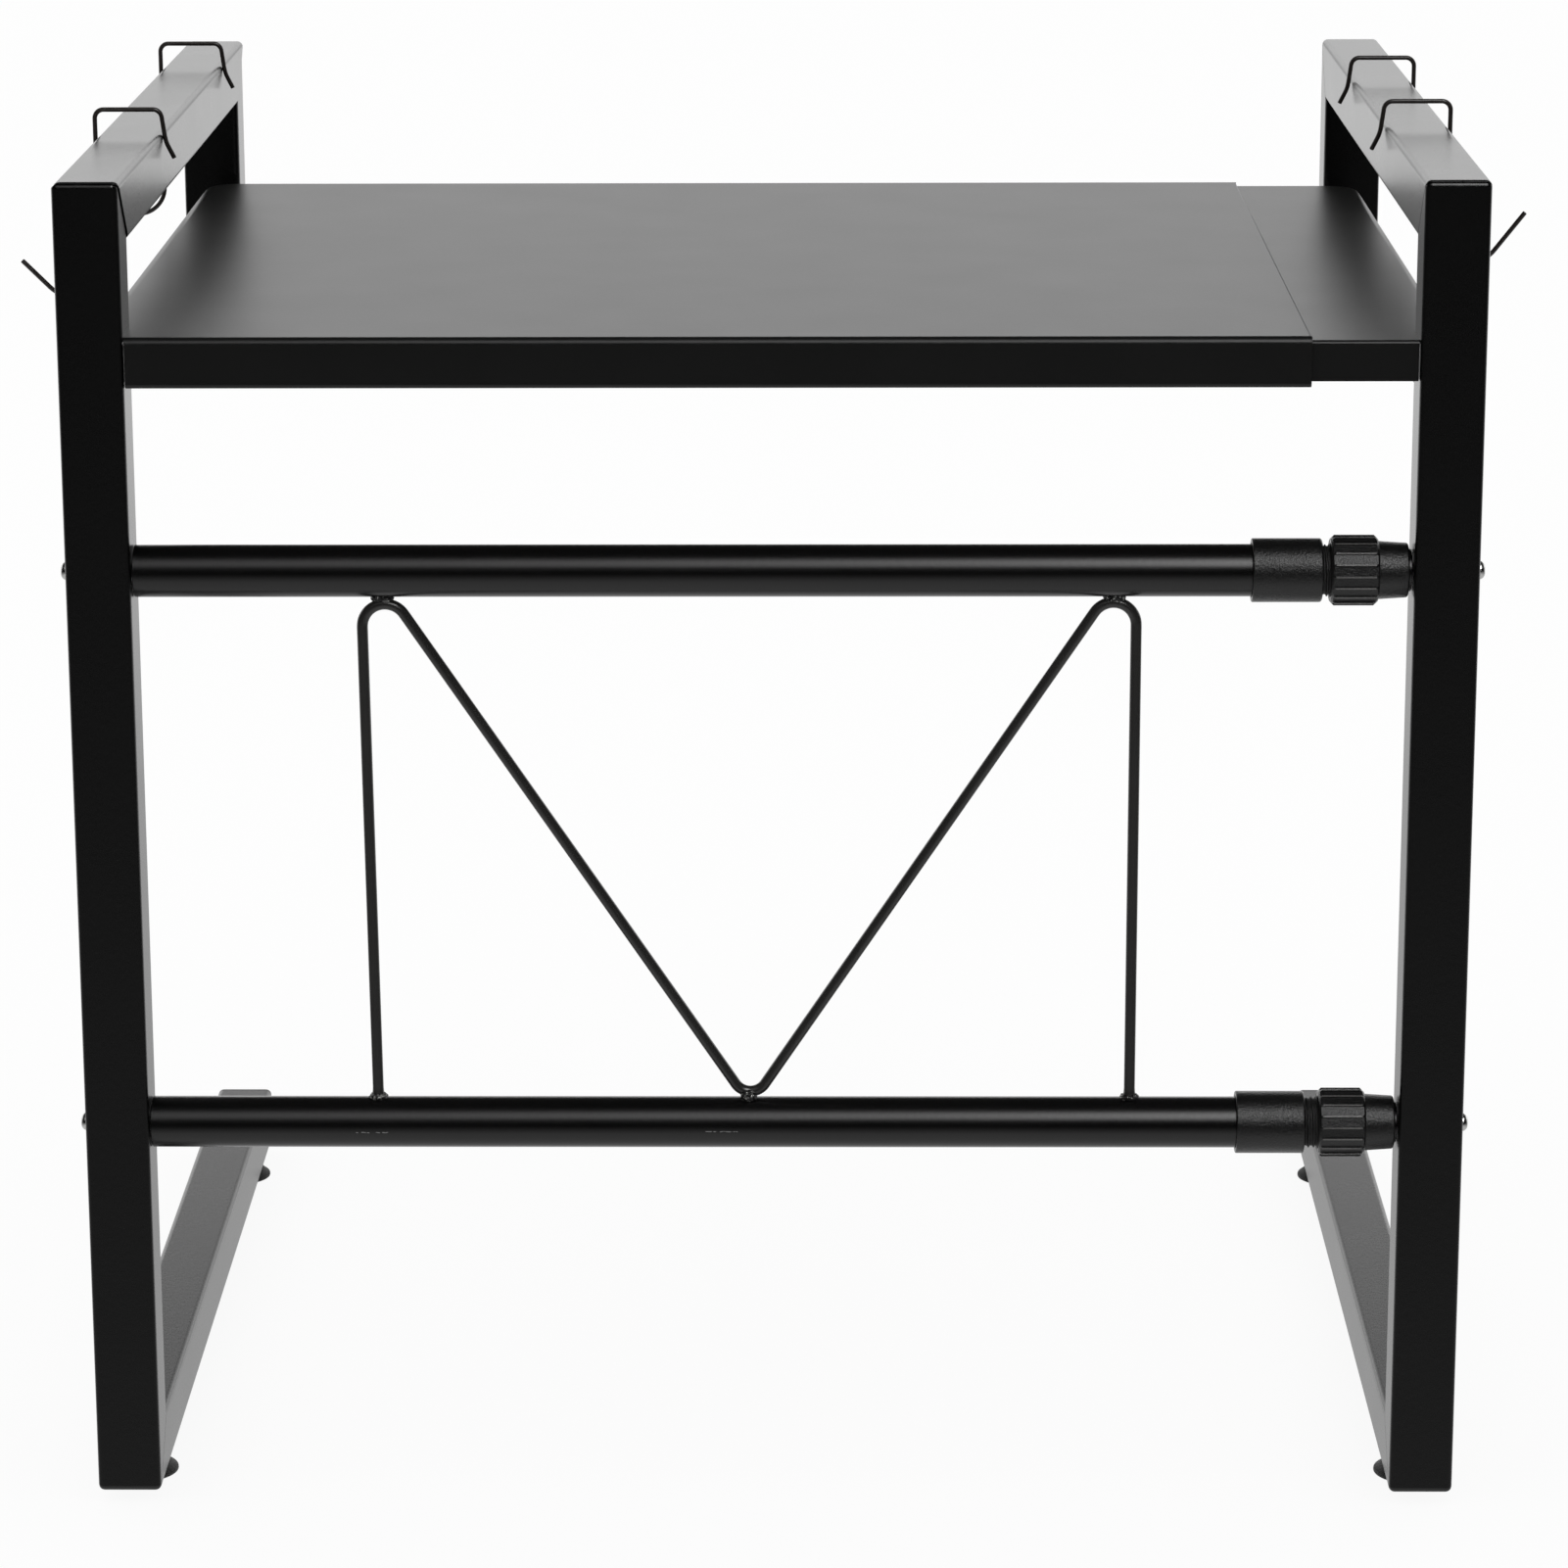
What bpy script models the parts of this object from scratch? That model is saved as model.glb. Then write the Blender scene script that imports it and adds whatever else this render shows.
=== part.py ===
"""Microwave rack whose shelf and crossbars telescope in width.

Metres, +Z up, +X to the right seen from the front, -Y towards the front.
The origin is on the floor, in the middle of the closed rack.
"""
import math

import bmesh
import bpy
from mathutils import Euler, Vector

# overall size, closed
WIDTH = 0.430
HEIGHT = 0.4215
DEPTH = 0.360
GAP = 0.0003
MERGE = 0.00002

# square steel tube of the two side frames
TUBE = 0.020
TUBE_WALL = 0.001
TUBE_CORNER = 0.002
TUBE_CORNER_STEPS = 4
TUBE_BORE_CORNER_STEPS = 2

# rubber feet
FOOT_HEIGHT = 0.004
FOOT_BASE_RADIUS = 0.012
FOOT_TOP_RADIUS = 0.009
FOOT_SPIGOT_RADIUS = 0.003
FOOT_SPIGOT_RISE = 0.0025
FOOT_INSET = 0.030

# folded sheet shelf in two halves, the right one sliding inside the left one
GUARD_HEIGHT = 0.047
SHEET = 0.001
APRON_HEIGHT = 0.0155
APRON_SETBACK = 0.0005
APRON_LIP = 0.005
INNER_APRON_RISE = 0.0018
RIM_DEPTH = 0.007
FRONT_BEND = 0.0022
RIM_BEND = 0.004
SHELF_INSET = 0.009
SHELF_REAR_INSET = 0.0305
SHELF_REAR_CORNER = 0.012
OUTER_SHELF_SHORT = 0.0325
INNER_SHELF_SHORT = 0.015

# bearers that carry the shelf between the posts
BEARER_WIDTH = 0.0095
BEARER_HEIGHT = 0.011
BEARER_CORNER = 0.0012

# telescopic crossbars
BAR_RADIUS = 0.008
BAR_WALL = 0.001
INNER_BAR_RADIUS = 0.0065
INNER_BAR_SHORT = 0.045
UPPER_BAR_DROP = 0.1204
LOWER_BAR_Z = 0.1245
BAR_PLUG_LENGTH = 0.010

# twist lock: threaded collar on the outer bar, ridged nut round the inner bar
COLLAR_RADIUS = 0.00975
COLLAR_LENGTH = 0.0214
COLLAR_CHAMFER = 0.0010
SOCKET_DEPTH = 0.017
NOSE_RADIUS = 0.0074
NOSE_LENGTH = 0.0143
THREAD_HEIGHT = 0.0006
THREAD_PITCH = 0.0016
THREAD_TURNS = 4
THREAD_STEPS = 24
NUT_RADIUS = 0.0109
NUT_RIB_HEIGHT = 0.0005
NUT_RIB_SHARE = 0.20
NUT_RIBS = 18
NUT_RIB_LENGTH = 0.0145
NUT_CHAMFER = 0.0012
NUT_LENGTH = 0.0237
NUT_CHAMBER_DEPTH = 0.0130
NUT_TAIL_RADIUS = 0.0089
NUT_TAIL_END_RADIUS = 0.0083
UPPER_NUT_CLEARANCE = 0.0012
LOWER_NUT_CLEARANCE = 0.0010
UPPER_THREAD_SHOWN = 0.0025
LOWER_THREAD_SHOWN = 0.0043

# screws that hold the crossbars to the posts
SCREW_HEAD_RADIUS = 0.00285
SCREW_HEAD_HEIGHT = 0.0020
SCREW_RADIUS = 0.0020
SCREW_GRIP = 0.0080
RECESS_LENGTH = 0.0030
RECESS_WIDTH = 0.0008
RECESS_DEPTH = 0.0011
RECESS_FLARE = 1.25

# bent wire brace between the crossbars
WIRE_RADIUS = 0.0015
WIRE_LEFT_INSET = 0.0692
WIRE_RIGHT_INSET = 0.0836
WIRE_TOP_BEND = 0.007
WIRE_FOOT_BEND = 0.005

# wire hooks over the top rails
HOOK_WIRE_RADIUS = 0.00075
HOOK_CROWN_RISE = 0.0072
HOOK_CROWN_BEND = 0.0028
HOOK_TIP_REACH = 0.0259
HOOK_GRIP_CLEARANCE = 0.0006
HOOK_GRIP_SPLAY = 0.0014
HOOK_GRIP_DROP = 0.0030
HOOK_GRIP_BEND = 0.012
HOOK_GRIP_TIP_REACH = 0.0040
HOOK_GRIP_TIP_DROP = 0.0083
# name, side, place along the rail, tip below the rail's top, rise of the tip, throat bend
HOOK_PLACES = (
    ("hook_front_left", -1, -0.067, 0.041, 1.0, 0.0095),
    ("hook_rear_left", -1, 0.110, 0.041, 1.0, 0.0095),
    ("hook_front_right", 1, -0.052, 0.0285, 1.28, 0.0085),
    ("hook_rear_right", 1, 0.063, 0.041, 1.0, 0.0095),
)

# end plugs of the square tubes
PLUG_FLANGE = 0.001
PLUG_DEPTH = 0.009
PLUG_WALL = 0.0016

# sizes that follow from those above
SIDE_X = WIDTH / 2 - TUBE / 2
POST_INNER_X = WIDTH / 2 - TUBE
FRONT_Y = -DEPTH / 2
REAR_Y = DEPTH / 2
FOOT_Y = REAR_Y - FOOT_INSET
SHELF_REAR = REAR_Y - SHELF_REAR_INSET
BAR_Y = FRONT_Y + TUBE / 2
SHELF_TOP = HEIGHT - GUARD_HEIGHT
SHELF_SIDE = WIDTH / 2 - SHELF_INSET
OUTER_SHELF_END = POST_INNER_X - OUTER_SHELF_SHORT
INNER_SHELF_END = INNER_SHELF_SHORT - POST_INNER_X
UPPER_BAR_Z = HEIGHT - UPPER_BAR_DROP
INNER_BAR_START = INNER_BAR_SHORT - POST_INNER_X
UPPER_NUT_START = POST_INNER_X - UPPER_NUT_CLEARANCE - NUT_LENGTH
LOWER_NUT_START = POST_INNER_X - LOWER_NUT_CLEARANCE - NUT_LENGTH
WIRE_LEFT = WIRE_LEFT_INSET - POST_INNER_X
WIRE_RIGHT = POST_INNER_X - WIRE_RIGHT_INSET
BEARER_TOP = SHELF_TOP - RIM_DEPTH - GAP
REAR_POST_FOOT = BEARER_TOP - BEARER_HEIGHT
THREAD_RADIUS = NOSE_RADIUS + THREAD_HEIGHT
SLIDE_RADIUS = INNER_BAR_RADIUS + GAP
SCREW_HOLE_RADIUS = SCREW_RADIUS + GAP

FINISHES = {
    "powder_coat": ((0.016, 0.016, 0.017, 1.0), 0.42, 0.0),
    "shelf_coat": ((0.022, 0.022, 0.023, 1.0), 0.40, 0.0),
    "lock_plastic": ((0.012, 0.012, 0.012, 1.0), 0.60, 0.0),
    "rubber": ((0.015, 0.015, 0.015, 1.0), 0.80, 0.0),
    "zinc": ((0.62, 0.62, 0.60, 1.0), 0.30, 1.0),
    "black_wire": ((0.018, 0.018, 0.018, 1.0), 0.38, 0.0),
}

for old in list(bpy.data.objects):
    bpy.data.objects.remove(old)

PARTS = bpy.data.collections.new("microwave_rack")
CUTTERS = bpy.data.collections.new("cutters")
bpy.context.scene.collection.children.link(PARTS)
bpy.context.scene.collection.children.link(CUTTERS)


def half(name):
    """Empty that carries one half of the rack."""
    empty = bpy.data.objects.new(name, None)
    empty.empty_display_size = 0.05
    PARTS.objects.link(empty)
    return empty


LEFT_HALF = half("left_half")
RIGHT_HALF = half("right_half")
HALVES = {-1: LEFT_HALF, 1: RIGHT_HALF}


def finish(part, kind):
    """Gives a part its own material."""
    colour, roughness, metallic = FINISHES[kind]
    material = bpy.data.materials.new(part.name + "_" + kind)
    material.use_nodes = True
    surface = material.node_tree.nodes["Principled BSDF"]
    surface.inputs["Base Color"].default_value = colour
    surface.inputs["Roughness"].default_value = roughness
    surface.inputs["Metallic"].default_value = metallic
    part.data.materials.clear()
    part.data.materials.append(material)


def place(part, parent, location, rotation=(0, 0, 0)):
    part.parent = parent
    part.location = location
    part.rotation_euler = rotation


def mesh_object(name, mesh, collection):
    part = bpy.data.objects.new(name, mesh)
    collection.objects.link(part)
    return part


def as_cutter(part):
    if part.name in PARTS.objects:
        PARTS.objects.unlink(part)
        CUTTERS.objects.link(part)
    part.hide_render = True
    part.display_type = "WIRE"


def combine(part, other, operation):
    """Boolean with another object, which becomes a cutter."""
    as_cutter(other)
    step = part.modifiers.new(other.name, "BOOLEAN")
    step.operation = operation
    step.solver = "EXACT"
    step.object = other


def round_off(mesh, degrees):
    mesh.shade_smooth()
    mesh.set_sharp_from_angle(angle=math.radians(degrees))


def curve_to_mesh(name, curve):
    """Mesh object of a filled curve, with its caps welded on."""
    source = bpy.data.objects.new(name + "_curve", curve)
    PARTS.objects.link(source)
    view = bpy.context.evaluated_depsgraph_get()
    mesh = bpy.data.meshes.new_from_object(source.evaluated_get(view))
    bpy.data.objects.remove(source)
    form = bmesh.new()
    form.from_mesh(mesh)
    bmesh.ops.remove_doubles(form, verts=form.verts, dist=MERGE)
    bmesh.ops.recalc_face_normals(form, faces=form.faces)
    form.to_mesh(mesh)
    form.free()
    return mesh_object(name, mesh, PARTS)


def rounded_rectangle(width, height, radius, steps):
    """Corner points of a rounded rectangle about the origin."""
    points = []
    for corner in range(4):
        centre_x = (width / 2 - radius) * (1 if corner in (0, 3) else -1)
        centre_y = (height / 2 - radius) * (1 if corner in (0, 1) else -1)
        for step in range(steps + 1):
            angle = (corner + step / steps) * math.pi / 2
            x = centre_x + radius * math.cos(angle)
            y = centre_y + radius * math.sin(angle)
            points.append((x, y))
    return points


def circle(radius, steps):
    points = []
    for step in range(steps):
        angle = 2 * math.pi * step / steps
        points.append((radius * math.cos(angle), radius * math.sin(angle)))
    return points


def prism(name, outlines, length):
    """Flat outline along local Z, centred; a second outline inside the first is a hole."""
    curve = bpy.data.curves.new(name, "CURVE")
    curve.dimensions = "2D"
    curve.fill_mode = "BOTH"
    curve.extrude = length / 2
    for points in outlines:
        spline = curve.splines.new("POLY")
        spline.points.add(len(points) - 1)
        for target, (x, y) in zip(spline.points, points):
            target.co = (x, y, 0, 1)
        spline.use_cyclic_u = True
    return curve_to_mesh(name, curve)


def wire(name, path, radius):
    """Bent round wire with closed ends along a list of points."""
    curve = bpy.data.curves.new(name, "CURVE")
    curve.dimensions = "3D"
    curve.bevel_depth = radius
    curve.bevel_resolution = 2
    curve.use_fill_caps = True
    spline = curve.splines.new("POLY")
    spline.points.add(len(path) - 1)
    for target, point in zip(spline.points, path):
        target.co = (point[0], point[1], point[2], 1)
    part = curve_to_mesh(name, curve)
    round_off(part.data, 50)
    return part


def filleted(corners, radii, steps):
    """Path in the XZ plane whose inner corners are arcs of the given radii."""
    path = [corners[0]]
    for index in range(1, len(corners) - 1):
        corner = Vector(corners[index])
        back = (Vector(corners[index - 1]) - corner).normalized()
        ahead = (Vector(corners[index + 1]) - corner).normalized()
        half_angle = back.angle(ahead) / 2
        radius = radii[index - 1]
        centre = corner + (back + ahead).normalized() * radius / math.sin(half_angle)
        start = corner + back * radius / math.tan(half_angle) - centre
        end = corner + ahead * radius / math.tan(half_angle) - centre
        turn = start.angle(end)
        count = max(3, round(steps * turn / math.pi))
        for step in range(count + 1):
            share = step / count
            weight_start = math.sin((1 - share) * turn) / math.sin(turn)
            weight_end = math.sin(share * turn) / math.sin(turn)
            point = centre + start * weight_start + end * weight_end
            path.append((point.x, point.y))
    path.append(corners[-1])
    return path


def turned(name, profile, steps, ring=False):
    """Profile of radius and height pairs, top to bottom on the outside, turned about Z."""
    mesh = bpy.data.meshes.new(name)
    points = [(radius, 0, height) for radius, height in profile]
    edges = [(index, index + 1) for index in range(len(points) - 1)]
    if ring:
        edges.append((len(points) - 1, 0))
    mesh.from_pydata(points, edges, [])
    part = mesh_object(name, mesh, PARTS)
    turn = part.modifiers.new("turn", "SCREW")
    turn.axis = "Z"
    turn.angle = 2 * math.pi
    turn.steps = steps
    turn.render_steps = steps
    turn.use_merge_vertices = True
    turn.merge_threshold = MERGE
    turn.use_smooth_shade = False
    return part


def cylinder_cutter(name, radius, centre, direction, length):
    form = bmesh.new()
    bmesh.ops.create_cone(
        form, cap_ends=True, segments=16, radius1=radius, radius2=radius, depth=length
    )
    mesh = bpy.data.meshes.new(name)
    form.to_mesh(mesh)
    form.free()
    cutter = mesh_object(name, mesh, CUTTERS)
    cutter.location = centre
    cutter.rotation_euler = Vector(direction).to_track_quat("Z", "Y").to_euler()
    return cutter


def mitre(part, name, corner, away):
    """Cuts a tube on the slanted plane through a corner and drops what lies beyond it."""
    block = 3 * TUBE
    form = bmesh.new()
    bmesh.ops.create_cube(form, size=block)
    mesh = bpy.data.meshes.new(name)
    form.to_mesh(mesh)
    form.free()
    cutter = mesh_object(name, mesh, CUTTERS)
    direction = Vector(away).normalized()
    cutter.location = Vector(corner) + direction * (block / 2 - GAP / 2)
    cutter.rotation_euler = direction.to_track_quat("Z", "Y").to_euler()
    combine(part, cutter, "DIFFERENCE")


def square_tube(name, width, height, corner, length):
    inner_corner = max(corner - TUBE_WALL, 0.0004)
    outside = rounded_rectangle(width, height, corner, TUBE_CORNER_STEPS)
    inside = rounded_rectangle(
        width - 2 * TUBE_WALL, height - 2 * TUBE_WALL, inner_corner, TUBE_BORE_CORNER_STEPS
    )
    part = prism(name, (outside, inside), length)
    round_off(part.data, 40)
    return part


def tube_plug(name, parent, location, rotation):
    """Moulded plug whose flange covers a tube's open end; local +Z points out of the tube."""
    flange = prism(
        name, (rounded_rectangle(TUBE, TUBE, TUBE_CORNER, TUBE_CORNER_STEPS),), PLUG_FLANGE
    )
    body_size = TUBE - 2 * TUBE_WALL - 2 * GAP
    body = prism(
        name + "_body",
        (
            rounded_rectangle(body_size, body_size, TUBE_CORNER / 2, 2),
            rounded_rectangle(body_size - 2 * PLUG_WALL, body_size - 2 * PLUG_WALL, TUBE_CORNER / 3, 1),
        ),
        PLUG_DEPTH,
    )
    inward = Euler(rotation).to_matrix() @ Vector((0, 0, -PLUG_DEPTH / 2))
    place(body, parent, Vector(location) + inward, rotation)
    combine(flange, body, "UNION")
    place(flange, parent, location, rotation)
    finish(flange, "lock_plastic")


def side_frame(side):
    """Square tube frame with its bearer, plugs and feet; side is -1 left, +1 right."""
    word = "left" if side < 0 else "right"
    parent = HALVES[side]
    x = side * SIDE_X
    along_y = (-math.pi / 2, 0, 0)
    top_front = (x, FRONT_Y, HEIGHT)
    top_rear = (x, REAR_Y, HEIGHT)
    low_front = (x, FRONT_Y, FOOT_HEIGHT)

    post = square_tube(f"front_post_{word}", TUBE, TUBE, TUBE_CORNER, HEIGHT - FOOT_HEIGHT)
    place(post, parent, (x, BAR_Y, (HEIGHT + FOOT_HEIGHT) / 2))
    mitre(post, f"cut_post_top_{word}", top_front, (0, 1, 1))
    mitre(post, f"cut_post_foot_{word}", low_front, (0, 1, -1))
    for bar_word, bar_z in (("upper", UPPER_BAR_Z), ("lower", LOWER_BAR_Z)):
        hole = cylinder_cutter(
            f"screw_hole_{bar_word}_{word}", SCREW_HOLE_RADIUS, (x, BAR_Y, bar_z), (1, 0, 0), 2 * TUBE
        )
        combine(post, hole, "DIFFERENCE")

    top = square_tube(f"top_rail_{word}", TUBE, TUBE, TUBE_CORNER, DEPTH)
    place(top, parent, (x, 0, HEIGHT - TUBE / 2), along_y)
    mitre(top, f"cut_top_front_{word}", top_front, (0, -1, -1))
    mitre(top, f"cut_top_rear_{word}", top_rear, (0, 1, -1))

    rear_length = HEIGHT - REAR_POST_FOOT
    rear = square_tube(f"rear_post_{word}", TUBE, TUBE, TUBE_CORNER, rear_length)
    place(rear, parent, (x, REAR_Y - TUBE / 2, HEIGHT - rear_length / 2))
    mitre(rear, f"cut_rear_post_{word}", top_rear, (0, -1, 1))

    rail_length = DEPTH - GAP
    rail = square_tube(f"bottom_rail_{word}", TUBE, TUBE, TUBE_CORNER, rail_length)
    place(rail, parent, (x, -GAP / 2, FOOT_HEIGHT + TUBE / 2), along_y)
    mitre(rail, f"cut_rail_{word}", low_front, (0, -1, 1))

    bearer_length = DEPTH - 2 * TUBE - 2 * GAP
    bearer_x = side * (SHELF_SIDE - SHEET - GAP - BEARER_WIDTH / 2)
    bearer = square_tube(
        f"shelf_bearer_{word}", BEARER_WIDTH, BEARER_HEIGHT, BEARER_CORNER, bearer_length
    )
    place(bearer, parent, (bearer_x, 0, BEARER_TOP - BEARER_HEIGHT / 2), along_y)

    for part in (post, top, rear, rail, bearer):
        finish(part, "powder_coat")

    rail_end = REAR_Y + PLUG_FLANGE / 2
    tube_plug(f"rail_plug_{word}", parent, (x, rail_end, FOOT_HEIGHT + TUBE / 2), along_y)
    post_end = REAR_POST_FOOT - GAP - PLUG_FLANGE / 2
    downward = (math.pi, 0, 0)
    tube_plug(f"rear_post_plug_{word}", parent, (x, REAR_Y - TUBE / 2, post_end), downward)

    for foot_word, foot_y in (("front", -FOOT_Y), ("rear", FOOT_Y)):
        foot = rubber_foot(f"foot_{foot_word}_{word}")
        place(foot, parent, (x, foot_y, 0))
        hole = cylinder_cutter(
            f"foot_hole_{foot_word}_{word}",
            FOOT_SPIGOT_RADIUS + GAP,
            (x, foot_y, FOOT_HEIGHT + TUBE_WALL / 2),
            (0, 0, 1),
            3 * TUBE_WALL,
        )
        combine(rail, hole, "DIFFERENCE")


def rubber_foot(name):
    """Low bell-shaped foot with a spigot that goes up into the rail."""
    shoulder = FOOT_HEIGHT - GAP
    skirt = FOOT_HEIGHT * 0.18
    profile = (
        (0, shoulder + FOOT_SPIGOT_RISE),
        (FOOT_SPIGOT_RADIUS, shoulder + FOOT_SPIGOT_RISE),
        (FOOT_SPIGOT_RADIUS, shoulder),
        (FOOT_TOP_RADIUS - 0.0006, shoulder),
        (FOOT_TOP_RADIUS, shoulder - 0.0005),
        (FOOT_TOP_RADIUS + 0.0010, skirt * 2.2),
        (FOOT_BASE_RADIUS - 0.0003, skirt),
        (FOOT_BASE_RADIUS, skirt * 0.5),
        (FOOT_BASE_RADIUS - 0.0002, 0),
        (0, 0),
    )
    foot = turned(name, profile, 20)
    finish(foot, "rubber")
    return foot


def folded_sheet(name, side, side_x, end_x, top, front_y, rear_y, apron_foot, bends, lip):
    """Shelf half: flat sheet, apron bent down in front, rolled rim at the side and rear.

    side is the side with the rim; the other end, at end_x, is cut square.
    """
    notch_x = side * (POST_INNER_X - GAP)
    notch_y = FRONT_Y + TUBE + GAP
    front_bend, rim_bend = bends
    corner = []
    corner_steps = 6
    centre_x = side_x - side * SHELF_REAR_CORNER
    centre_y = rear_y - SHELF_REAR_CORNER
    for step in range(corner_steps + 1):
        angle = math.pi / 2 * (1 - step / corner_steps)
        corner_x = centre_x + side * SHELF_REAR_CORNER * math.cos(angle)
        corner_y = centre_y + SHELF_REAR_CORNER * math.sin(angle)
        corner.append((corner_x, corner_y))
    outline = [(notch_x, front_y), (end_x, front_y), (end_x, rear_y)]
    outline += corner
    outline += [(side_x, notch_y), (notch_x, notch_y)]

    form = bmesh.new()
    points = [form.verts.new((x, y, top)) for x, y in outline]
    sheet = form.faces.new(points)
    if side > 0:
        sheet.normal_flip()
    rim_last = len(outline) - 3
    apron_edge = form.edges.get((points[0], points[1]))
    rim_edges = []
    for index in range(2, rim_last + 1):
        rim_edges.append(form.edges.get((points[index], points[index + 1])))

    apron = bmesh.ops.extrude_edge_only(form, edges=[apron_edge])
    apron_points = [item for item in apron["geom"] if isinstance(item, bmesh.types.BMVert)]
    for point in apron_points:
        point.co.z = apron_foot
    rim = bmesh.ops.extrude_edge_only(form, edges=rim_edges)
    rim_points = [item for item in rim["geom"] if isinstance(item, bmesh.types.BMVert)]
    for point in rim_points:
        point.co.z = SHELF_TOP - RIM_DEPTH
    if lip > 0:
        lip_edge = form.edges.get(apron_points)
        turned_in = bmesh.ops.extrude_edge_only(form, edges=[lip_edge])
        for item in turned_in["geom"]:
            if isinstance(item, bmesh.types.BMVert):
                item.co.y += lip
    bmesh.ops.bevel(
        form, geom=[apron_edge], offset=front_bend, segments=3, profile=0.5, affect="EDGES"
    )
    rim_edges = [
        edge
        for edge in form.edges
        if all(abs(point.co.z - top) < MERGE for point in edge.verts)
        and len(edge.link_faces) == 2
        and min(face.normal.z * face.normal.z for face in edge.link_faces) < 0.01
    ]
    bmesh.ops.bevel(
        form, geom=rim_edges, offset=rim_bend, segments=3, profile=0.5, affect="EDGES"
    )
    bmesh.ops.remove_doubles(form, verts=form.verts, dist=MERGE)
    mesh = bpy.data.meshes.new(name)
    form.to_mesh(mesh)
    form.free()
    part = mesh_object(name, mesh, PARTS)
    thick = part.modifiers.new("sheet", "SOLIDIFY")
    thick.thickness = SHEET
    thick.offset = -1
    thick.use_even_offset = True
    round_off(mesh, 35)
    finish(part, "shelf_coat")
    return part


def shelf():
    front = FRONT_Y + APRON_SETBACK
    step = SHEET + GAP
    outer = folded_sheet(
        "outer_shelf",
        -1,
        -SHELF_SIDE,
        OUTER_SHELF_END,
        SHELF_TOP,
        front,
        SHELF_REAR,
        SHELF_TOP - APRON_HEIGHT,
        (FRONT_BEND, RIM_BEND),
        APRON_LIP,
    )
    place(outer, LEFT_HALF, (0, 0, 0))
    inner = folded_sheet(
        "inner_shelf",
        1,
        SHELF_SIDE,
        INNER_SHELF_END,
        SHELF_TOP - step,
        front + step,
        SHELF_REAR - step,
        SHELF_TOP - APRON_HEIGHT + INNER_APRON_RISE,
        (FRONT_BEND - SHEET, RIM_BEND - SHEET),
        0,
    )
    place(inner, RIGHT_HALF, (0, 0, 0))


def round_tube(name, radius, wall, start, end, z, parent):
    part = prism(name, (circle(radius, 32), circle(radius - wall, 32)), end - start)
    place(part, parent, ((start + end) / 2, BAR_Y, z), (0, math.pi / 2, 0))
    round_off(part.data, 40)
    finish(part, "powder_coat")


def bar_plug(name, radius, face_x, inward, z, parent):
    """Ring in a bar's end that the crossbar screw goes into."""
    profile = (
        (radius, BAR_PLUG_LENGTH),
        (radius, 0),
        (SCREW_HOLE_RADIUS, 0),
        (SCREW_HOLE_RADIUS, BAR_PLUG_LENGTH),
    )
    part = turned(name, profile, 24, ring=True)
    place(part, parent, (face_x, BAR_Y, z), (0, inward * math.pi / 2, 0))
    finish(part, "zinc")


def thread(name):
    """Raised helix with closed ends, to be joined to the collar's nose."""
    root = NOSE_RADIUS - 0.0003
    crest_half = THREAD_PITCH * 0.10
    root_half = THREAD_PITCH * 0.36
    profile = (
        (root, root_half),
        (THREAD_RADIUS, crest_half),
        (THREAD_RADIUS, -crest_half),
        (root, -root_half),
    )
    part = turned(name, profile, THREAD_STEPS, ring=True)
    screw = part.modifiers["turn"]
    screw.use_merge_vertices = False
    screw.screw_offset = THREAD_PITCH
    screw.iterations = THREAD_TURNS
    view = bpy.context.evaluated_depsgraph_get()
    mesh = bpy.data.meshes.new_from_object(part.evaluated_get(view))
    bpy.data.objects.remove(part)
    form = bmesh.new()
    form.from_mesh(mesh)
    bmesh.ops.remove_doubles(form, verts=form.verts, dist=MERGE)
    ends = [edge for edge in form.edges if edge.is_boundary]
    bmesh.ops.holes_fill(form, edges=ends, sides=0)
    bmesh.ops.recalc_face_normals(form, faces=form.faces)
    form.to_mesh(mesh)
    form.free()
    return mesh_object(name, mesh, PARTS)


def collar(name, start, shown, z):
    """Threaded collar pressed over the end of the outer bar."""
    end = COLLAR_LENGTH
    nose = COLLAR_LENGTH + NOSE_LENGTH
    profile = (
        (NOSE_RADIUS - COLLAR_CHAMFER / 2, nose),
        (NOSE_RADIUS, nose - COLLAR_CHAMFER / 2),
        (NOSE_RADIUS, end),
        (COLLAR_RADIUS - COLLAR_CHAMFER, end),
        (COLLAR_RADIUS, end - COLLAR_CHAMFER),
        (COLLAR_RADIUS, COLLAR_CHAMFER / 2),
        (COLLAR_RADIUS - COLLAR_CHAMFER / 2, 0),
        (BAR_RADIUS + GAP, 0),
        (BAR_RADIUS + GAP, SOCKET_DEPTH),
        (SLIDE_RADIUS, SOCKET_DEPTH),
        (SLIDE_RADIUS, nose),
    )
    part = turned(name, profile, THREAD_STEPS, ring=True)
    turn_x = (0, math.pi / 2, 0)
    place(part, LEFT_HALF, (start, BAR_Y, z), turn_x)
    helix = thread(name + "_thread")
    helix_start = start + COLLAR_LENGTH + THREAD_PITCH * 0.5
    place(helix, LEFT_HALF, (helix_start, BAR_Y, z), turn_x)
    combine(part, helix, "UNION")
    finish(part, "lock_plastic")


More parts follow.
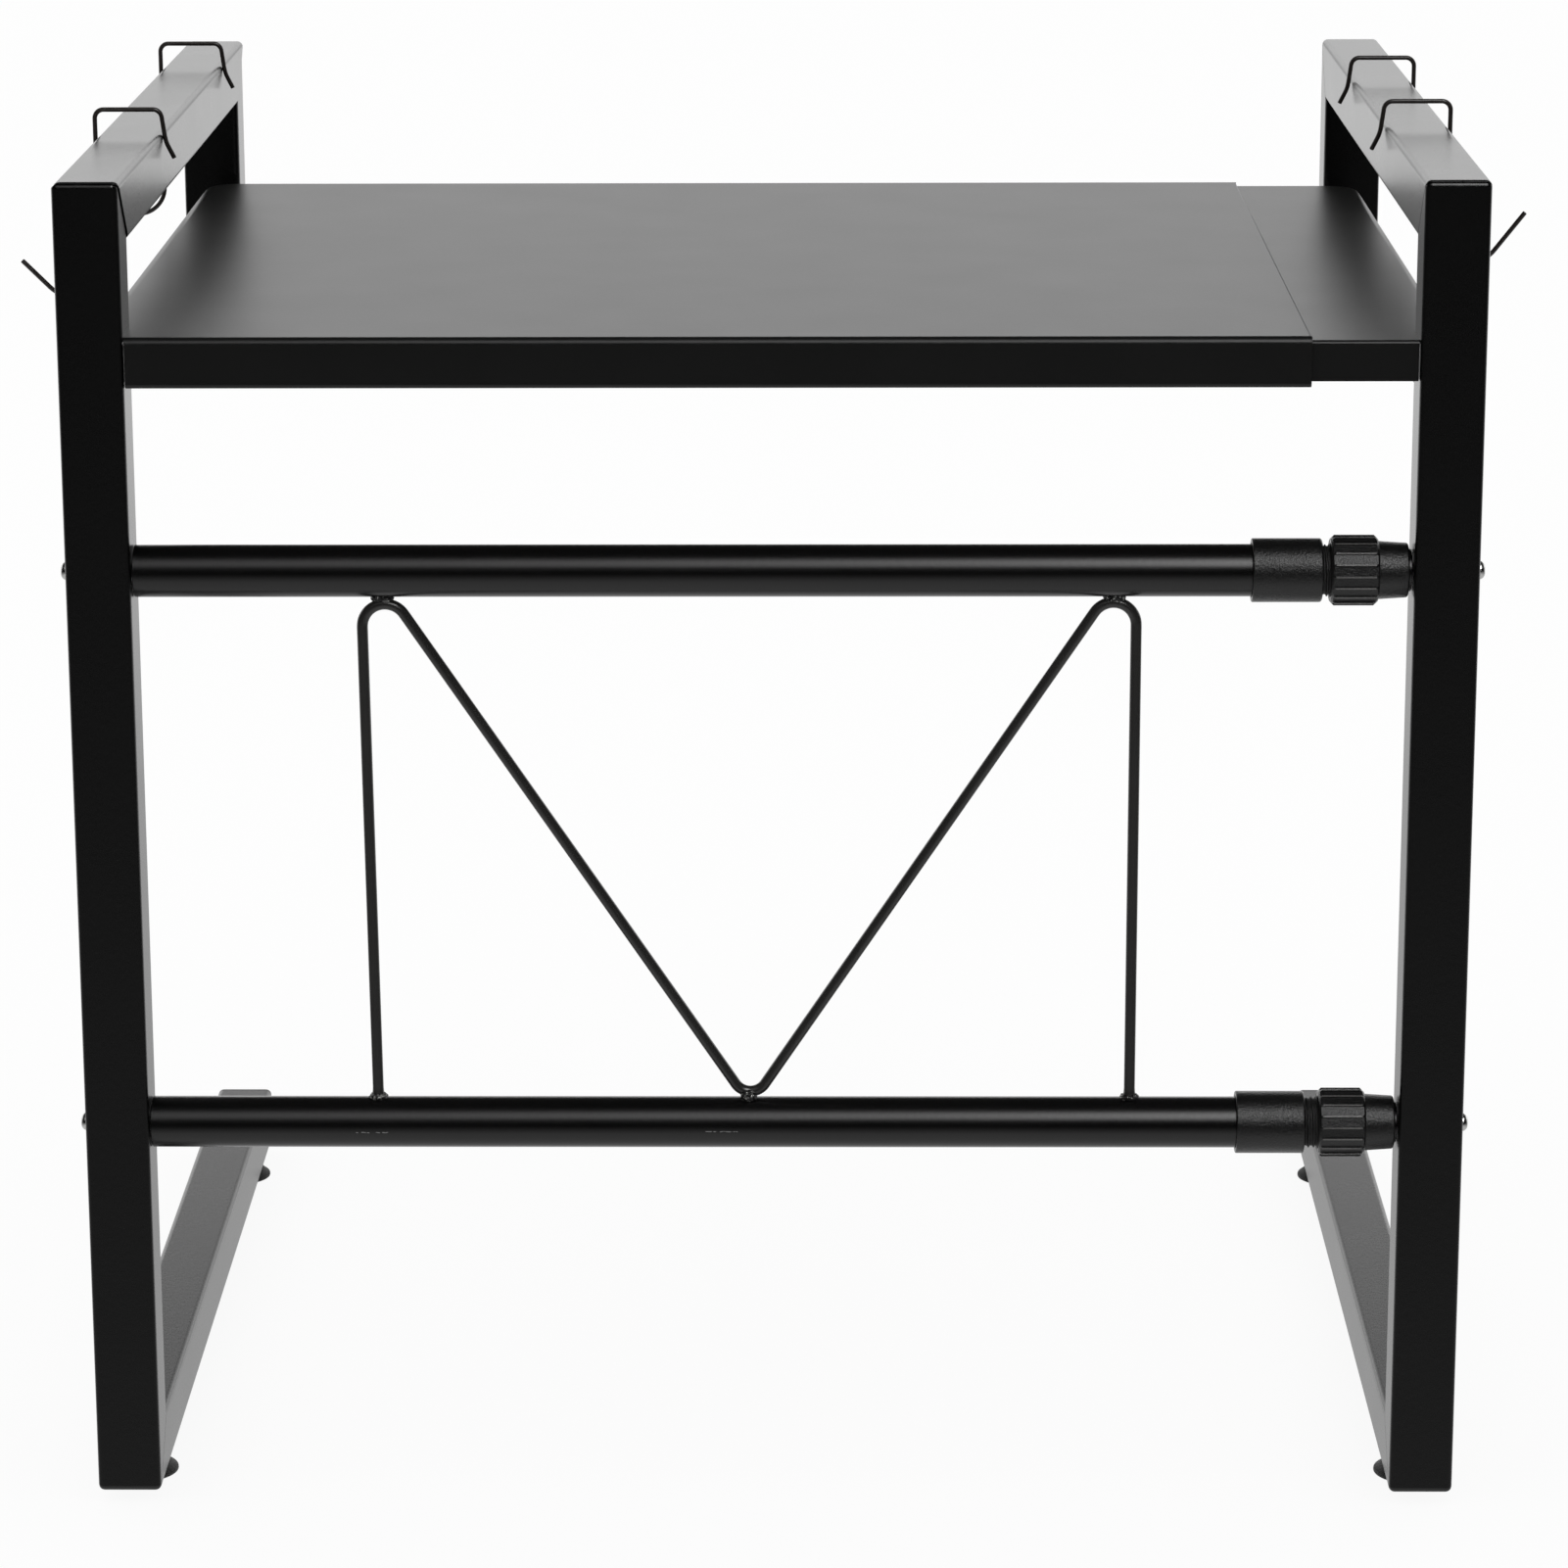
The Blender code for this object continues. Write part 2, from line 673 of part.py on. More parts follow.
def lock_nut(name, start, z):
    """Nut of flats with narrow ridges between them and a smooth tapered tail."""
    end = NUT_RIB_LENGTH
    chamber = THREAD_RADIUS + GAP
    profile = (
        (NUT_TAIL_END_RADIUS - 0.0004, NUT_LENGTH),
        (NUT_TAIL_END_RADIUS, NUT_LENGTH - 0.0004),
        (NUT_TAIL_RADIUS, end),
        (NUT_RADIUS - NUT_CHAMFER, end),
        (NUT_RADIUS, end - NUT_CHAMFER),
        (NUT_RADIUS, NUT_CHAMFER),
        (NUT_RADIUS - NUT_CHAMFER, 0),
        (chamber, 0),
        (chamber, NUT_CHAMBER_DEPTH),
        (SLIDE_RADIUS, NUT_CHAMBER_DEPTH),
        (SLIDE_RADIUS, NUT_LENGTH),
    )
    part = turned(name, profile, 2 * NUT_RIBS, ring=True)
    crest = NUT_RADIUS + GAP
    root = NUT_RADIUS - NUT_RIB_HEIGHT
    top_half = NUT_RIB_SHARE * 0.40
    foot_half = NUT_RIB_SHARE * 0.60
    outline = []
    for rib in range(NUT_RIBS):
        for share, radius in (
            (top_half, crest), (foot_half, root), (1 - foot_half, root), (1 - top_half, crest)
        ):
            angle = 2 * math.pi * (rib + share) / NUT_RIBS
            outline.append((radius * math.cos(angle), radius * math.sin(angle)))
    sleeve = prism(name + "_ridges", (circle(NUT_RADIUS * 1.2, NUT_RIBS), outline), 1.5 * end)
    turn_x = (0, math.pi / 2, 0)
    place(sleeve, LEFT_HALF, (start + end / 2, BAR_Y, z), turn_x)
    combine(part, sleeve, "DIFFERENCE")
    place(part, LEFT_HALF, (start, BAR_Y, z), turn_x)
    finish(part, "lock_plastic")


def crossbar_screw(name, side, z):
    """Pan head screw through the post into the bar's end plug."""
    reach = GAP + TUBE + GAP + SCREW_GRIP
    radius = SCREW_HEAD_RADIUS
    height = SCREW_HEAD_HEIGHT
    profile = (
        (0, height),
        (radius * 0.45, height * 0.97),
        (radius * 0.75, height * 0.82),
        (radius * 0.94, height * 0.52),
        (radius, height * 0.2),
        (radius, 0),
        (SCREW_RADIUS, 0),
        (SCREW_RADIUS, -reach + SCREW_RADIUS),
        (SCREW_RADIUS * 0.4, -reach),
        (0, -reach),
    )
    part = turned(name, profile, 16)
    arm = RECESS_LENGTH / 2
    web = RECESS_WIDTH / 2
    cross = []
    for quarter in range(4):
        cosine = round(math.cos(quarter * math.pi / 2))
        sine = round(math.sin(quarter * math.pi / 2))
        for x, y in ((arm, -web), (arm, web), (web * RECESS_FLARE, web * RECESS_FLARE)):
            cross.append((x * cosine - y * sine, x * sine + y * cosine))
    recess = prism(name + "_recess", (cross,), 2 * RECESS_DEPTH)
    face_x = side * (WIDTH / 2 + GAP)
    outward = (0, side * math.pi / 2, 0)
    place(recess, HALVES[side], (face_x + side * height, BAR_Y, z), outward)
    combine(part, recess, "DIFFERENCE")
    place(part, HALVES[side], (face_x, BAR_Y, z), outward)
    finish(part, "zinc")


def crossbars():
    rows = (
        ("upper", UPPER_BAR_Z, UPPER_NUT_START, UPPER_THREAD_SHOWN),
        ("lower", LOWER_BAR_Z, LOWER_NUT_START, LOWER_THREAD_SHOWN),
    )
    left_face = -POST_INNER_X + GAP
    right_face = POST_INNER_X - GAP
    for word, z, nut_start, shown in rows:
        collar_start = nut_start - shown - COLLAR_LENGTH
        bar_end = collar_start + SOCKET_DEPTH - GAP
        round_tube(f"outer_bar_{word}", BAR_RADIUS, BAR_WALL, left_face, bar_end, z, LEFT_HALF)
        inner_start = INNER_BAR_START
        round_tube(
            f"inner_bar_{word}", INNER_BAR_RADIUS, BAR_WALL, inner_start, right_face, z, RIGHT_HALF
        )
        left_plug = BAR_RADIUS - BAR_WALL - GAP
        right_plug = INNER_BAR_RADIUS - BAR_WALL - GAP
        bar_plug(f"bar_plug_{word}_left", left_plug, left_face, 1, z, LEFT_HALF)
        bar_plug(f"bar_plug_{word}_right", right_plug, right_face, -1, z, RIGHT_HALF)
        collar(f"collar_{word}", collar_start, shown, z)
        lock_nut(f"lock_nut_{word}", nut_start, z)
        crossbar_screw(f"crossbar_screw_{word}_left", -1, z)
        crossbar_screw(f"crossbar_screw_{word}_right", 1, z)


def brace():
    """One wire bent to an M between the crossbars."""
    low = LOWER_BAR_Z + BAR_RADIUS + GAP
    valley = low + WIRE_RADIUS
    crown = UPPER_BAR_Z - BAR_RADIUS - GAP - WIRE_RADIUS
    middle = (WIRE_LEFT + WIRE_RIGHT) / 2
    span = middle - WIRE_LEFT
    slant = math.radians(35)
    for _ in range(20):
        sine = math.sin(slant)
        corner_top = crown - WIRE_TOP_BEND + WIRE_TOP_BEND * (1 + math.cos(slant)) / sine
        corner_low = valley - WIRE_FOOT_BEND / sine + WIRE_FOOT_BEND
        slant = math.atan2(span, corner_top - corner_low)
    corners = (
        (WIRE_LEFT, low),
        (WIRE_LEFT, corner_top),
        (middle, corner_low),
        (WIRE_RIGHT, corner_top),
        (WIRE_RIGHT, low),
    )
    flat = filleted(corners, (WIRE_TOP_BEND, WIRE_FOOT_BEND, WIRE_TOP_BEND), 12)
    path = [(x, BAR_Y, z) for x, z in flat]
    part = wire("wire_brace", path, WIRE_RADIUS)
    part.parent = LEFT_HALF
    finish(part, "black_wire")


def hook(name, side, y, tip_drop, tip_rise, throat_bend):
    """Wire hook: crown over the top rail, splayed grip inside it, open throat outside it."""
    leg = WIDTH / 2 + GAP + HOOK_WIRE_RADIUS
    crown = HEIGHT + HOOK_CROWN_RISE
    grip = POST_INNER_X - HOOK_WIRE_RADIUS - HOOK_GRIP_CLEARANCE
    tip = (WIDTH / 2 + HOOK_TIP_REACH, HEIGHT - tip_drop)
    corners = (
        (side * tip[0], tip[1]),
        (side * leg, tip[1] - tip_rise * (tip[0] - leg)),
        (side * leg, crown),
        (side * (grip + HOOK_GRIP_SPLAY), crown),
        (side * grip, HEIGHT - HOOK_GRIP_DROP),
        (side * (POST_INNER_X - HOOK_GRIP_TIP_REACH), HEIGHT - HOOK_GRIP_TIP_DROP),
    )
    bends = (throat_bend, HOOK_CROWN_BEND, HOOK_CROWN_BEND, HOOK_GRIP_BEND)
    flat = filleted(corners, bends, 10)
    path = [(x - side * SIDE_X, 0, z - HEIGHT) for x, z in flat]
    part = wire(name, path, HOOK_WIRE_RADIUS)
    place(part, HALVES[side], (side * SIDE_X, y, HEIGHT))
    finish(part, "black_wire")


side_frame(-1)
side_frame(1)
shelf()
crossbars()
brace()
for row in HOOK_PLACES:
    hook(*row)
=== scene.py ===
import math

import bmesh
import bpy
from mathutils import Matrix, Vector


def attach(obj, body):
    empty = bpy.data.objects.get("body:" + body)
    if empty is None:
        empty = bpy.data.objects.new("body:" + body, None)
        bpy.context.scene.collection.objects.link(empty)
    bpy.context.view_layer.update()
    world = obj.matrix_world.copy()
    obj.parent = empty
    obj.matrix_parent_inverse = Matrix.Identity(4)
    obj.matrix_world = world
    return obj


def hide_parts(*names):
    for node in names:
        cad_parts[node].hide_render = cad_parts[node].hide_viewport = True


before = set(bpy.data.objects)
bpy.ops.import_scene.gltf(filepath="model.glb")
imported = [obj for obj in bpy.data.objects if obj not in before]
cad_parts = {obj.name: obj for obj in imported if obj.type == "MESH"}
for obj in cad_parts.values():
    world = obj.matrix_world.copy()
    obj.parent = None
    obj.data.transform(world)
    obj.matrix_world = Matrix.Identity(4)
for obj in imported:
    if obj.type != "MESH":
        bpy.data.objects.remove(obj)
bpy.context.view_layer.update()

# sizes of the rack in metres, as in its source
WIDTH = 0.430
HEIGHT = 0.4215
DEPTH = 0.360
GAP = 0.0003
TUBE = 0.020
TUBE_CORNER = 0.002
SIDE_X = WIDTH / 2 - TUBE / 2
POST_INNER_X = WIDTH / 2 - TUBE
FRONT_Y = -DEPTH / 2
REAR_Y = DEPTH / 2
BAR_Y = FRONT_Y + TUBE / 2
FOOT_HEIGHT = 0.004
FOOT_Y = 0.150
FOOT_BASE_RADIUS = 0.012
FOOT_SKIRT = FOOT_HEIGHT * 0.22
FOOT_HOLLOW = 0.0006
PLUG_DISH_INSET = 0.0012
PLUG_DISH = 0.0003
# rounding of the seams' edges, and the weld that shows inside them
SEAM_EDGE = 0.00014
WELD_INSET = 0.0012
WELD_RISE = GAP + 0.0003
# the left top rail stands this far inside its posts
RAIL_STEP = 0.0005

SHELF_TOP = 0.3745
SHEET = 0.001
APRON_HEIGHT = 0.0155
APRON_SETBACK = 0.0005
APRON_LIP = 0.005
APRON_LIP_BEND = 0.0014
INNER_APRON_RISE = 0.0018
CUT_ROUNDING = 0.0008
CUT_BURR = 0.00018
RIM_DEPTH = 0.007
FRONT_BEND = 0.0022
RIM_BEND = 0.004
SHELF_SIDE = 0.206
SHELF_REAR = 0.1495
SHELF_REAR_CORNER = 0.012
OUTER_SHELF_END = 0.1625
INNER_SHELF_END = -0.180
REAR_POST_FOOT = SHELF_TOP - RIM_DEPTH - GAP - 0.011
PLUG_FLANGE = 0.001

BAR_RADIUS = 0.008
BAR_WALL = 0.001
BAR_END_ROUNDING = 0.0002
INNER_BAR_RADIUS = 0.0065
INNER_BAR_START = -0.150
UPPER_BAR_Z = 0.3011
LOWER_BAR_Z = 0.1245

COLLAR_RADIUS = 0.00975
COLLAR_LENGTH = 0.0214
SOCKET_DEPTH = 0.017
NOSE_RADIUS = 0.0074
NOSE_LENGTH = 0.0143
COLLAR_FRONT_ROUNDING = 0.0008
COLLAR_BACK_ROUNDING = 0.00035
NOSE_ROUNDING = 0.0005
THREAD_HEIGHT = 0.0006
THREAD_PITCH = 0.0016
THREAD_TURNS = 4
THREAD_SINK = 0.0003
THREAD_FOOT_SHARE = 0.72
THREAD_CREST_SHARE = 0.28
NUT_RADIUS = 0.01076
NUT_RIB_HEIGHT = 0.0004
RIDGE_WIDTH = 0.0005
NUT_RIBS = 18
NUT_CHAMFER = 0.0012
NUT_RIB_LENGTH = 0.0145
NUT_LENGTH = 0.0237
NUT_CHAMBER_DEPTH = 0.0130
NUT_TAIL_RADIUS = 0.0089
NUT_TAIL_END_RADIUS = 0.0083
# the nut's core starts this far inside its ridged ring, and the ring reaches this far into it
NUT_CORE_STEP = 0.0001
NUT_RING_SINK = 0.0003
NUT_RIDGE_SPARE = 0.0002
NUT_TAIL_ROUNDING = 0.0007
NUT_EDGE_ROUNDING = 0.00016
SLIDE_RADIUS = INNER_BAR_RADIUS + GAP
RIDGE_TURNS = {"upper": math.radians(20), "lower": math.radians(27)}
# name, height, the nut's start, length of thread that shows
LOCKS = (
    ("upper", UPPER_BAR_Z, 0.1701, 0.0025),
    ("lower", LOWER_BAR_Z, 0.1703, 0.0043),
)

WIRE_RADIUS = 0.00172
WIRE_LEFT = -0.1258
WIRE_RIGHT = 0.1114
WIRE_LEAN = 0.0020
WIRE_TOP_BEND = 0.007
WIRE_FOOT_BEND = 0.0055

# share of the wire's radius at the foot and how far it reaches, from the bar up
BRACE_FEET = ((1.45, 0.0005), (1.22, 0.0011), (1.06, 0.0012))

WELD_LUMP = 0.0011

SCREW_HEIGHT = 0.0020
SCREW_RADIUS = 0.00285
SCREW_DOME = 0.0014
SCREW_SHANK_RADIUS = 0.0020
SCREW_POINT = 0.002
SCREW_GRIP = 0.008
SCREW_SLOT = (0.0024, 0.0008, 0.0032)
SCREW_SLOT_TURN = 0.35

HOOK_WIRE_RADIUS = 0.00075
HOOK_END_ROUNDING = 0.0003
HOOK_CROWN = HEIGHT + 0.00719
HOOK_CROWN_BEND = 0.0028
HOOK_TIP_X = 0.2409
HOOK_GRIP_X = 0.19365
HOOK_GRIP_SPLAY = 0.0014
HOOK_GRIP_Z = HEIGHT - 0.0030
HOOK_GRIP_BEND = 0.012
HOOK_GRIP_TIP = (0.1910, HEIGHT - 0.0083)
# name, side, place along the rail, height of the tip, its rise, throat bend
HOOKS = (
    ("hook_front_left", -1, -0.067, HEIGHT - 0.041, 1.0, 0.0095),
    ("hook_rear_left", -1, 0.110, HEIGHT - 0.041, 1.0, 0.0095),
    ("hook_front_right", 1, -0.052, HEIGHT - 0.0285, 1.28, 0.0085),
    ("hook_rear_right", 1, 0.063, HEIGHT - 0.041, 1.0, 0.0095),
)

# scuffs on the lower bar: x and z of their middles
SCUFFS = ((-0.1254, 0.12335), (-0.0161, 0.12375))
SCUFF_REACH = 0.005
SCUFF_WIDTH = 0.00013

# the photograph's camera
PHOTO = 1601
FOCAL_PIXELS = 5613.1
SHIFT_RIGHT_PIXELS = -24.1
SHIFT_DOWN_PIXELS = 74.7
CAMERA_PLACE = (0.01855, -1.81286, 0.65489)
CAMERA_YAW = 0.0136
CAMERA_PITCH = -0.2642
CAMERA_ROLL = 0.0035

# the studio: levels of light, where 1 is white, and the directions they reach from and to
ROOM_LEVEL = 0.0
SIDE_LEVEL = 0.70
TOP_LEVEL = 1.10
BACK_SIDES = (0.05, 0.65)
BACK_EDGE = (0.22, 0.36)
BACK_LEVELS = (0.84, 3.50)
BACK_RISE = (0.0, 0.5)
BACK_REST = 0.03
FRONT_SIDES = (-0.1, -0.4)
SOFT_RANGE = (-0.2, 1.0)
TABLE_NEAR = (-0.27, -0.15)
TABLE_FAR = (-0.10, -0.02)
TABLE_GLEAM = 0.55
CEILING_LEVEL = 0.60
CEILING_SIDE = (0.35, 0.60)
LAMP_LEVEL = 9.0
LAMP_NEAR_SIDE = (-0.01, 0.19)
LAMP_FAR_SIDE = (0.28, 0.42)
LAMP_LOW = (0.34, 0.62)
LAMP_HIGH = (0.75, 0.95)
FLOOR_RANGE = (-0.15, -0.64)
FLOOR_LEVEL = 0.66
FLOOR_GLOW = 0.92
FLOOR_COLOUR = (0.85, 0.85, 0.85, 1)
WHITE = (1, 1, 1, 1)


def make_camera():
    data = bpy.data.cameras.new("view")
    data.sensor_fit = "HORIZONTAL"
    data.sensor_width = 36.0
    data.lens = FOCAL_PIXELS / PHOTO * data.sensor_width
    data.shift_x = -SHIFT_RIGHT_PIXELS / PHOTO
    data.shift_y = SHIFT_DOWN_PIXELS / PHOTO
    data.clip_start = 0.05
    data.clip_end = 50
    camera = bpy.data.objects.new("view", data)
    bpy.context.scene.collection.objects.link(camera)
    yaw = Matrix.Rotation(CAMERA_YAW, 4, "Z")
    pitch = Matrix.Rotation(CAMERA_PITCH, 4, "X")
    roll = Matrix.Rotation(CAMERA_ROLL, 4, "Y")
    upright = Matrix.Rotation(math.pi / 2, 4, "X")
    camera.matrix_world = Matrix.Translation(CAMERA_PLACE) @ yaw @ pitch @ roll @ upright
    bpy.context.scene.camera = camera


# ---------------------------------------------------------------- finishes


class Value:
    """A shader socket that takes part in Python expressions."""

    def __init__(self, shader, socket):
        self.shader = shader
        self.socket = socket

    def reckon(self, operation, first, second):
        return self.shader.node("ShaderNodeMath", {"operation": operation}, {0: first, 1: second})

    def __add__(self, other):
        return self.reckon("ADD", self, other)

    def __radd__(self, other):
        return self.reckon("ADD", other, self)

    def __sub__(self, other):
        return self.reckon("SUBTRACT", self, other)

    def __rsub__(self, other):
        return self.reckon("SUBTRACT", other, self)

    def __mul__(self, other):
        return self.reckon("MULTIPLY", self, other)

    def __rmul__(self, other):
        return self.reckon("MULTIPLY", other, self)

    def __gt__(self, other):
        return self.reckon("GREATER_THAN", self, other)

    def __lt__(self, other):
        return self.reckon("LESS_THAN", self, other)

    def __abs__(self):
        return self.reckon("ABSOLUTE", self, 0.0)


class Shader:
    """A node tree that is built from Python expressions."""

    def __init__(self, tree):
        self.tree = tree

    def node(self, kind, settings, inputs, output=0):
        made = self.tree.nodes.new(kind)
        for name, value in settings.items():
            setattr(made, name, value)
        for key, value in inputs.items():
            if isinstance(value, Value):
                self.tree.links.new(value.socket, made.inputs[key])
            else:
                made.inputs[key].default_value = value
        return Value(self, made.outputs[output])

    def ramp(self, value, low, high, bottom=0.0, top=1.0, way="SMOOTHSTEP"):
        ends = {"From Min": low, "From Max": high, "To Min": bottom, "To Max": top}
        settings = {"interpolation_type": way}
        return self.node("ShaderNodeMapRange", settings, {"Value": value, **ends})

    def part(self, vector, axis):
        return self.node("ShaderNodeSeparateXYZ", {}, {0: vector}, axis)

    def larger(self, first, second):
        return self.node("ShaderNodeMath", {"operation": "MAXIMUM"}, {0: first, 1: second})

    def ray(self, kind):
        return self.node("ShaderNodeLightPath", {}, {}, kind)


class Finish(Shader):
    """A procedural material on a principled surface."""

    def __init__(self, name, colour, roughness, metallic=0.0, specular=0.5):
        self.material = bpy.data.materials.new(name)
        self.material.use_nodes = True
        super().__init__(self.material.node_tree)
        self.surface = self.tree.nodes["Principled BSDF"]
        self.surface.inputs["Base Color"].default_value = (*colour, 1)
        self.surface.inputs["Roughness"].default_value = roughness
        self.surface.inputs["Metallic"].default_value = metallic
        self.surface.inputs["Specular IOR Level"].default_value = specular
        self.place = self.node("ShaderNodeTexCoord", {}, {}, "Object")

    def noise(self, scale, detail=2.0, roughness=0.5):
        inputs = {"Vector": self.place, "Scale": scale, "Detail": detail, "Roughness": roughness}
        return self.node("ShaderNodeTexNoise", {}, inputs)

    def cells(self, scale, output="Distance"):
        inputs = {"Vector": self.place, "Scale": scale}
        return self.node("ShaderNodeTexVoronoi", {}, inputs, output)

    def blend(self, share, first, second):
        settings = {"data_type": "RGBA"}
        inputs = {0: share, 6: self.opaque(first), 7: self.opaque(second)}
        return self.node("ShaderNodeMix", settings, inputs, 2)

    @staticmethod
    def opaque(colour):
        return colour if isinstance(colour, Value) else (*colour, 1)

    def feed(self, socket, value):
        self.tree.links.new(value.socket, self.surface.inputs[socket])

    def bump(self, height, depth):
        inputs = {"Strength": 1.0, "Distance": depth, "Height": height}
        self.feed("Normal", self.node("ShaderNodeBump", {}, inputs))


def specks(finish, scale, size, share):
    """Sparse round grains of dust: 1 on a grain, 0 elsewhere."""
    distance = finish.cells(scale)
    chance = finish.part(finish.cells(scale, "Color"), 0)
    return (distance < size) * (chance < share)


def scuffed(finish, places):
    """Thin broken scratches along x on the front: 1 on a scratch, 0 elsewhere."""
    across, depth, height = (finish.part(finish.place, axis) for axis in range(3))
    wander = 0.0004 * (finish.noise(700) - 0.5)
    broken = finish.noise(1100, 3.0) > 0.47
    marks = 0.0
    for x, z in places:
        thin = abs(height - z + wander) < SCUFF_WIDTH
        marks = marks + (abs(across - x) < SCUFF_REACH) * thin
    return marks * broken * (depth < BAR_Y)


def powder_coat(name, colour, roughness, peel, dust, specular=0.5, scuffs=()):
    finish = Finish(name, colour, roughness, specular=specular)
    cloud = finish.noise(38, 3.0)
    grain = finish.noise(2600, 2.0)
    peel_wave = finish.noise(620, 2.0)
    dark = tuple(0.75 * part for part in colour)
    light = tuple(1.35 * part for part in colour)
    coat = finish.blend(cloud, dark, light)
    grains = specks(finish, 95, 0.030, dust)
    coat = finish.blend(grains * 0.5, coat, (0.35, 0.35, 0.34))
    if scuffs:
        coat = finish.blend(scuffed(finish, scuffs), coat, (0.16, 0.16, 0.16))
    finish.feed("Base Color", coat)
    finish.feed("Roughness", roughness + 0.02 * (cloud - 0.5) + 0.04 * (grain - 0.5) + 0.2 * grains)
    finish.bump(peel_wave * 0.7 + grain * 0.3 + grains * 0.6, peel)
    return finish.material


def from_axis(finish, z):
    """Distance from the middle line of the bar at height z."""
    offset = finish.node(
        "ShaderNodeVectorMath", {"operation": "SUBTRACT"}, {0: finish.place, 1: (0, BAR_Y, z)}
    )
    crosswise = finish.node(
        "ShaderNodeVectorMath", {"operation": "MULTIPLY"}, {0: offset, 1: (0, 1, 1)}
    )
    return finish.node("ShaderNodeVectorMath", {"operation": "LENGTH"}, {0: crosswise}, 1)


def lock_plastic():
    """Grained plastic, with a painted highlight on the nuts' ridges."""
    finish = Finish("lock_plastic", (0.008, 0.008, 0.008), 0.48)
    grain = finish.noise(1500, 3.0, 0.65)
    cloud = finish.noise(140, 3.0)
    coat = finish.blend(grain, (0.001, 0.001, 0.001), (0.009, 0.009, 0.009))
    grains = specks(finish, 160, 0.035, 0.03)
    upper, lower = from_axis(finish, UPPER_BAR_Z), from_axis(finish, LOWER_BAR_Z)
    radius = finish.node("ShaderNodeMath", {"operation": "MINIMUM"}, {0: upper, 1: lower})
    # the nuts' ridges are painted lighter as a painted highlight, and are made a little smoother
    ridge_highlight = finish.ramp(radius, NUT_RADIUS - 0.00022, NUT_RADIUS - 0.00004) * (0.4 + 0.6 * cloud)
    coat = finish.blend(ridge_highlight, coat, (0.120, 0.118, 0.115))
    greased = finish.ramp(radius, NOSE_RADIUS + 0.0002, NOSE_RADIUS + 0.0012, 1.0, 0.0)
    finish.feed("Base Color", finish.blend(grains * 0.5, coat, (0.30, 0.30, 0.30)))
    patchy = 0.24 + 0.13 * grain + 0.08 * (cloud - 0.5)
    finish.feed("Roughness", patchy - 0.05 * ridge_highlight + 0.4 * greased)
    finish.bump(grain, 0.00018)
    return finish.material


def foot_rubber():
    finish = Finish("foot_rubber", (0.02, 0.02, 0.02), 0.62)
    grain = finish.noise(1200, 3.0, 0.6)
    dust = finish.noise(90, 4.0)
    finish.feed("Base Color", finish.blend(dust, (0.014, 0.014, 0.014), (0.036, 0.036, 0.035)))
    finish.feed("Roughness", 0.55 + 0.18 * grain)
    finish.bump(grain, 0.00008)
    return finish.material


def zinc_plate():
    finish = Finish("zinc_plate", (0.62, 0.62, 0.60), 0.25, metallic=1.0)
    grain = finish.noise(900, 3.0)
    tarnish = finish.noise(300, 3.0)
    finish.feed("Base Color", finish.blend(tarnish, (0.50, 0.50, 0.49), (0.72, 0.72, 0.71)))
    finish.feed("Roughness", 0.16 + 0.16 * grain)
    finish.bump(grain, 0.00002)
    return finish.material


def weld_metal():
    finish = Finish("weld_metal", (0.006, 0.006, 0.006), 0.12)
    lumps = finish.noise(1000, 2.0, 0.6)
    bright = finish.ramp(lumps, 0.56, 0.64)
    finish.feed("Base Color", finish.blend(bright, (0.004, 0.004, 0.004), (0.60, 0.60, 0.58)))
    finish.feed("Metallic", bright * 0.9)
    finish.feed("Roughness", 0.06 + 0.12 * lumps)
    finish.bump(lumps, 0.0009)
    return finish.material


TUBE_COAT = powder_coat("tube_coat", (0.0006, 0.0006, 0.0006), 0.28, 0.00003, 0.020)
SHELF_COAT = powder_coat("shelf_coat", (0.0030, 0.0030, 0.0030), 0.36, 0.00002, 0.004, 0.40)
BAR_COAT = powder_coat("bar_coat", (0.0020, 0.0020, 0.0020), 0.26, 0.00002, 0.006, scuffs=SCUFFS)
WIRE_COAT = powder_coat("wire_coat", (0.0170, 0.0165, 0.0160), 0.22, 0.00003, 0.002)
HOOK_COAT = powder_coat("hook_coat", (0.0170, 0.0140, 0.0125), 0.28, 0.00005, 0.0)
PLUG_PLASTIC = powder_coat("plug_plastic", (0.0120, 0.0120, 0.0120), 0.50, 0.00004, 0.0)
LOCK_PLASTIC = lock_plastic()
FOOT_RUBBER = foot_rubber()
ZINC_PLATE = zinc_plate()
WELD_METAL = weld_metal()


# ---------------------------------------------------------------- modelling


def clear_selection():
    bpy.ops.object.select_all(action="DESELECT")


def take(piece):
    clear_selection()
    piece.select_set(True)
    bpy.context.view_layer.objects.active = piece


def begin(name, primitive, **how):
    """Adds a primitive at its size and place and opens it for editing."""
    clear_selection()
    primitive(**how)
    piece = bpy.context.object
    piece.name = name
    piece.data.name = name
    bpy.ops.object.transform_apply(location=True, rotation=True, scale=True)
    bpy.ops.object.mode_set(mode="EDIT")
    return piece


def pick(piece, kind, test):
    """Selects the corners, edges or faces that pass a test."""
    bpy.ops.mesh.select_mode(type=kind)
    bpy.ops.mesh.select_all(action="DESELECT")
    form = bmesh.from_edit_mesh(piece.data)
    items = {"VERT": form.verts, "EDGE": form.edges, "FACE": form.faces}[kind]
    for item in items:
        if test(item):
            item.select_set(True)
    bmesh.update_edit_mesh(piece.data)


def move_out(x=0.0, y=0.0, z=0.0):
    bpy.ops.mesh.extrude_region_move(TRANSFORM_OT_translate={"value": (x, y, z)})


def swell(centre, x=1.0, y=1.0, z=1.0):
    bpy.ops.transform.resize(value=(x, y, z), center_override=centre)


def round_edges(width, segments, profile=0.5):
    bpy.ops.mesh.bevel(
        offset=width, segments=segments, profile=profile, affect="EDGES", clamp_overlap=False
    )


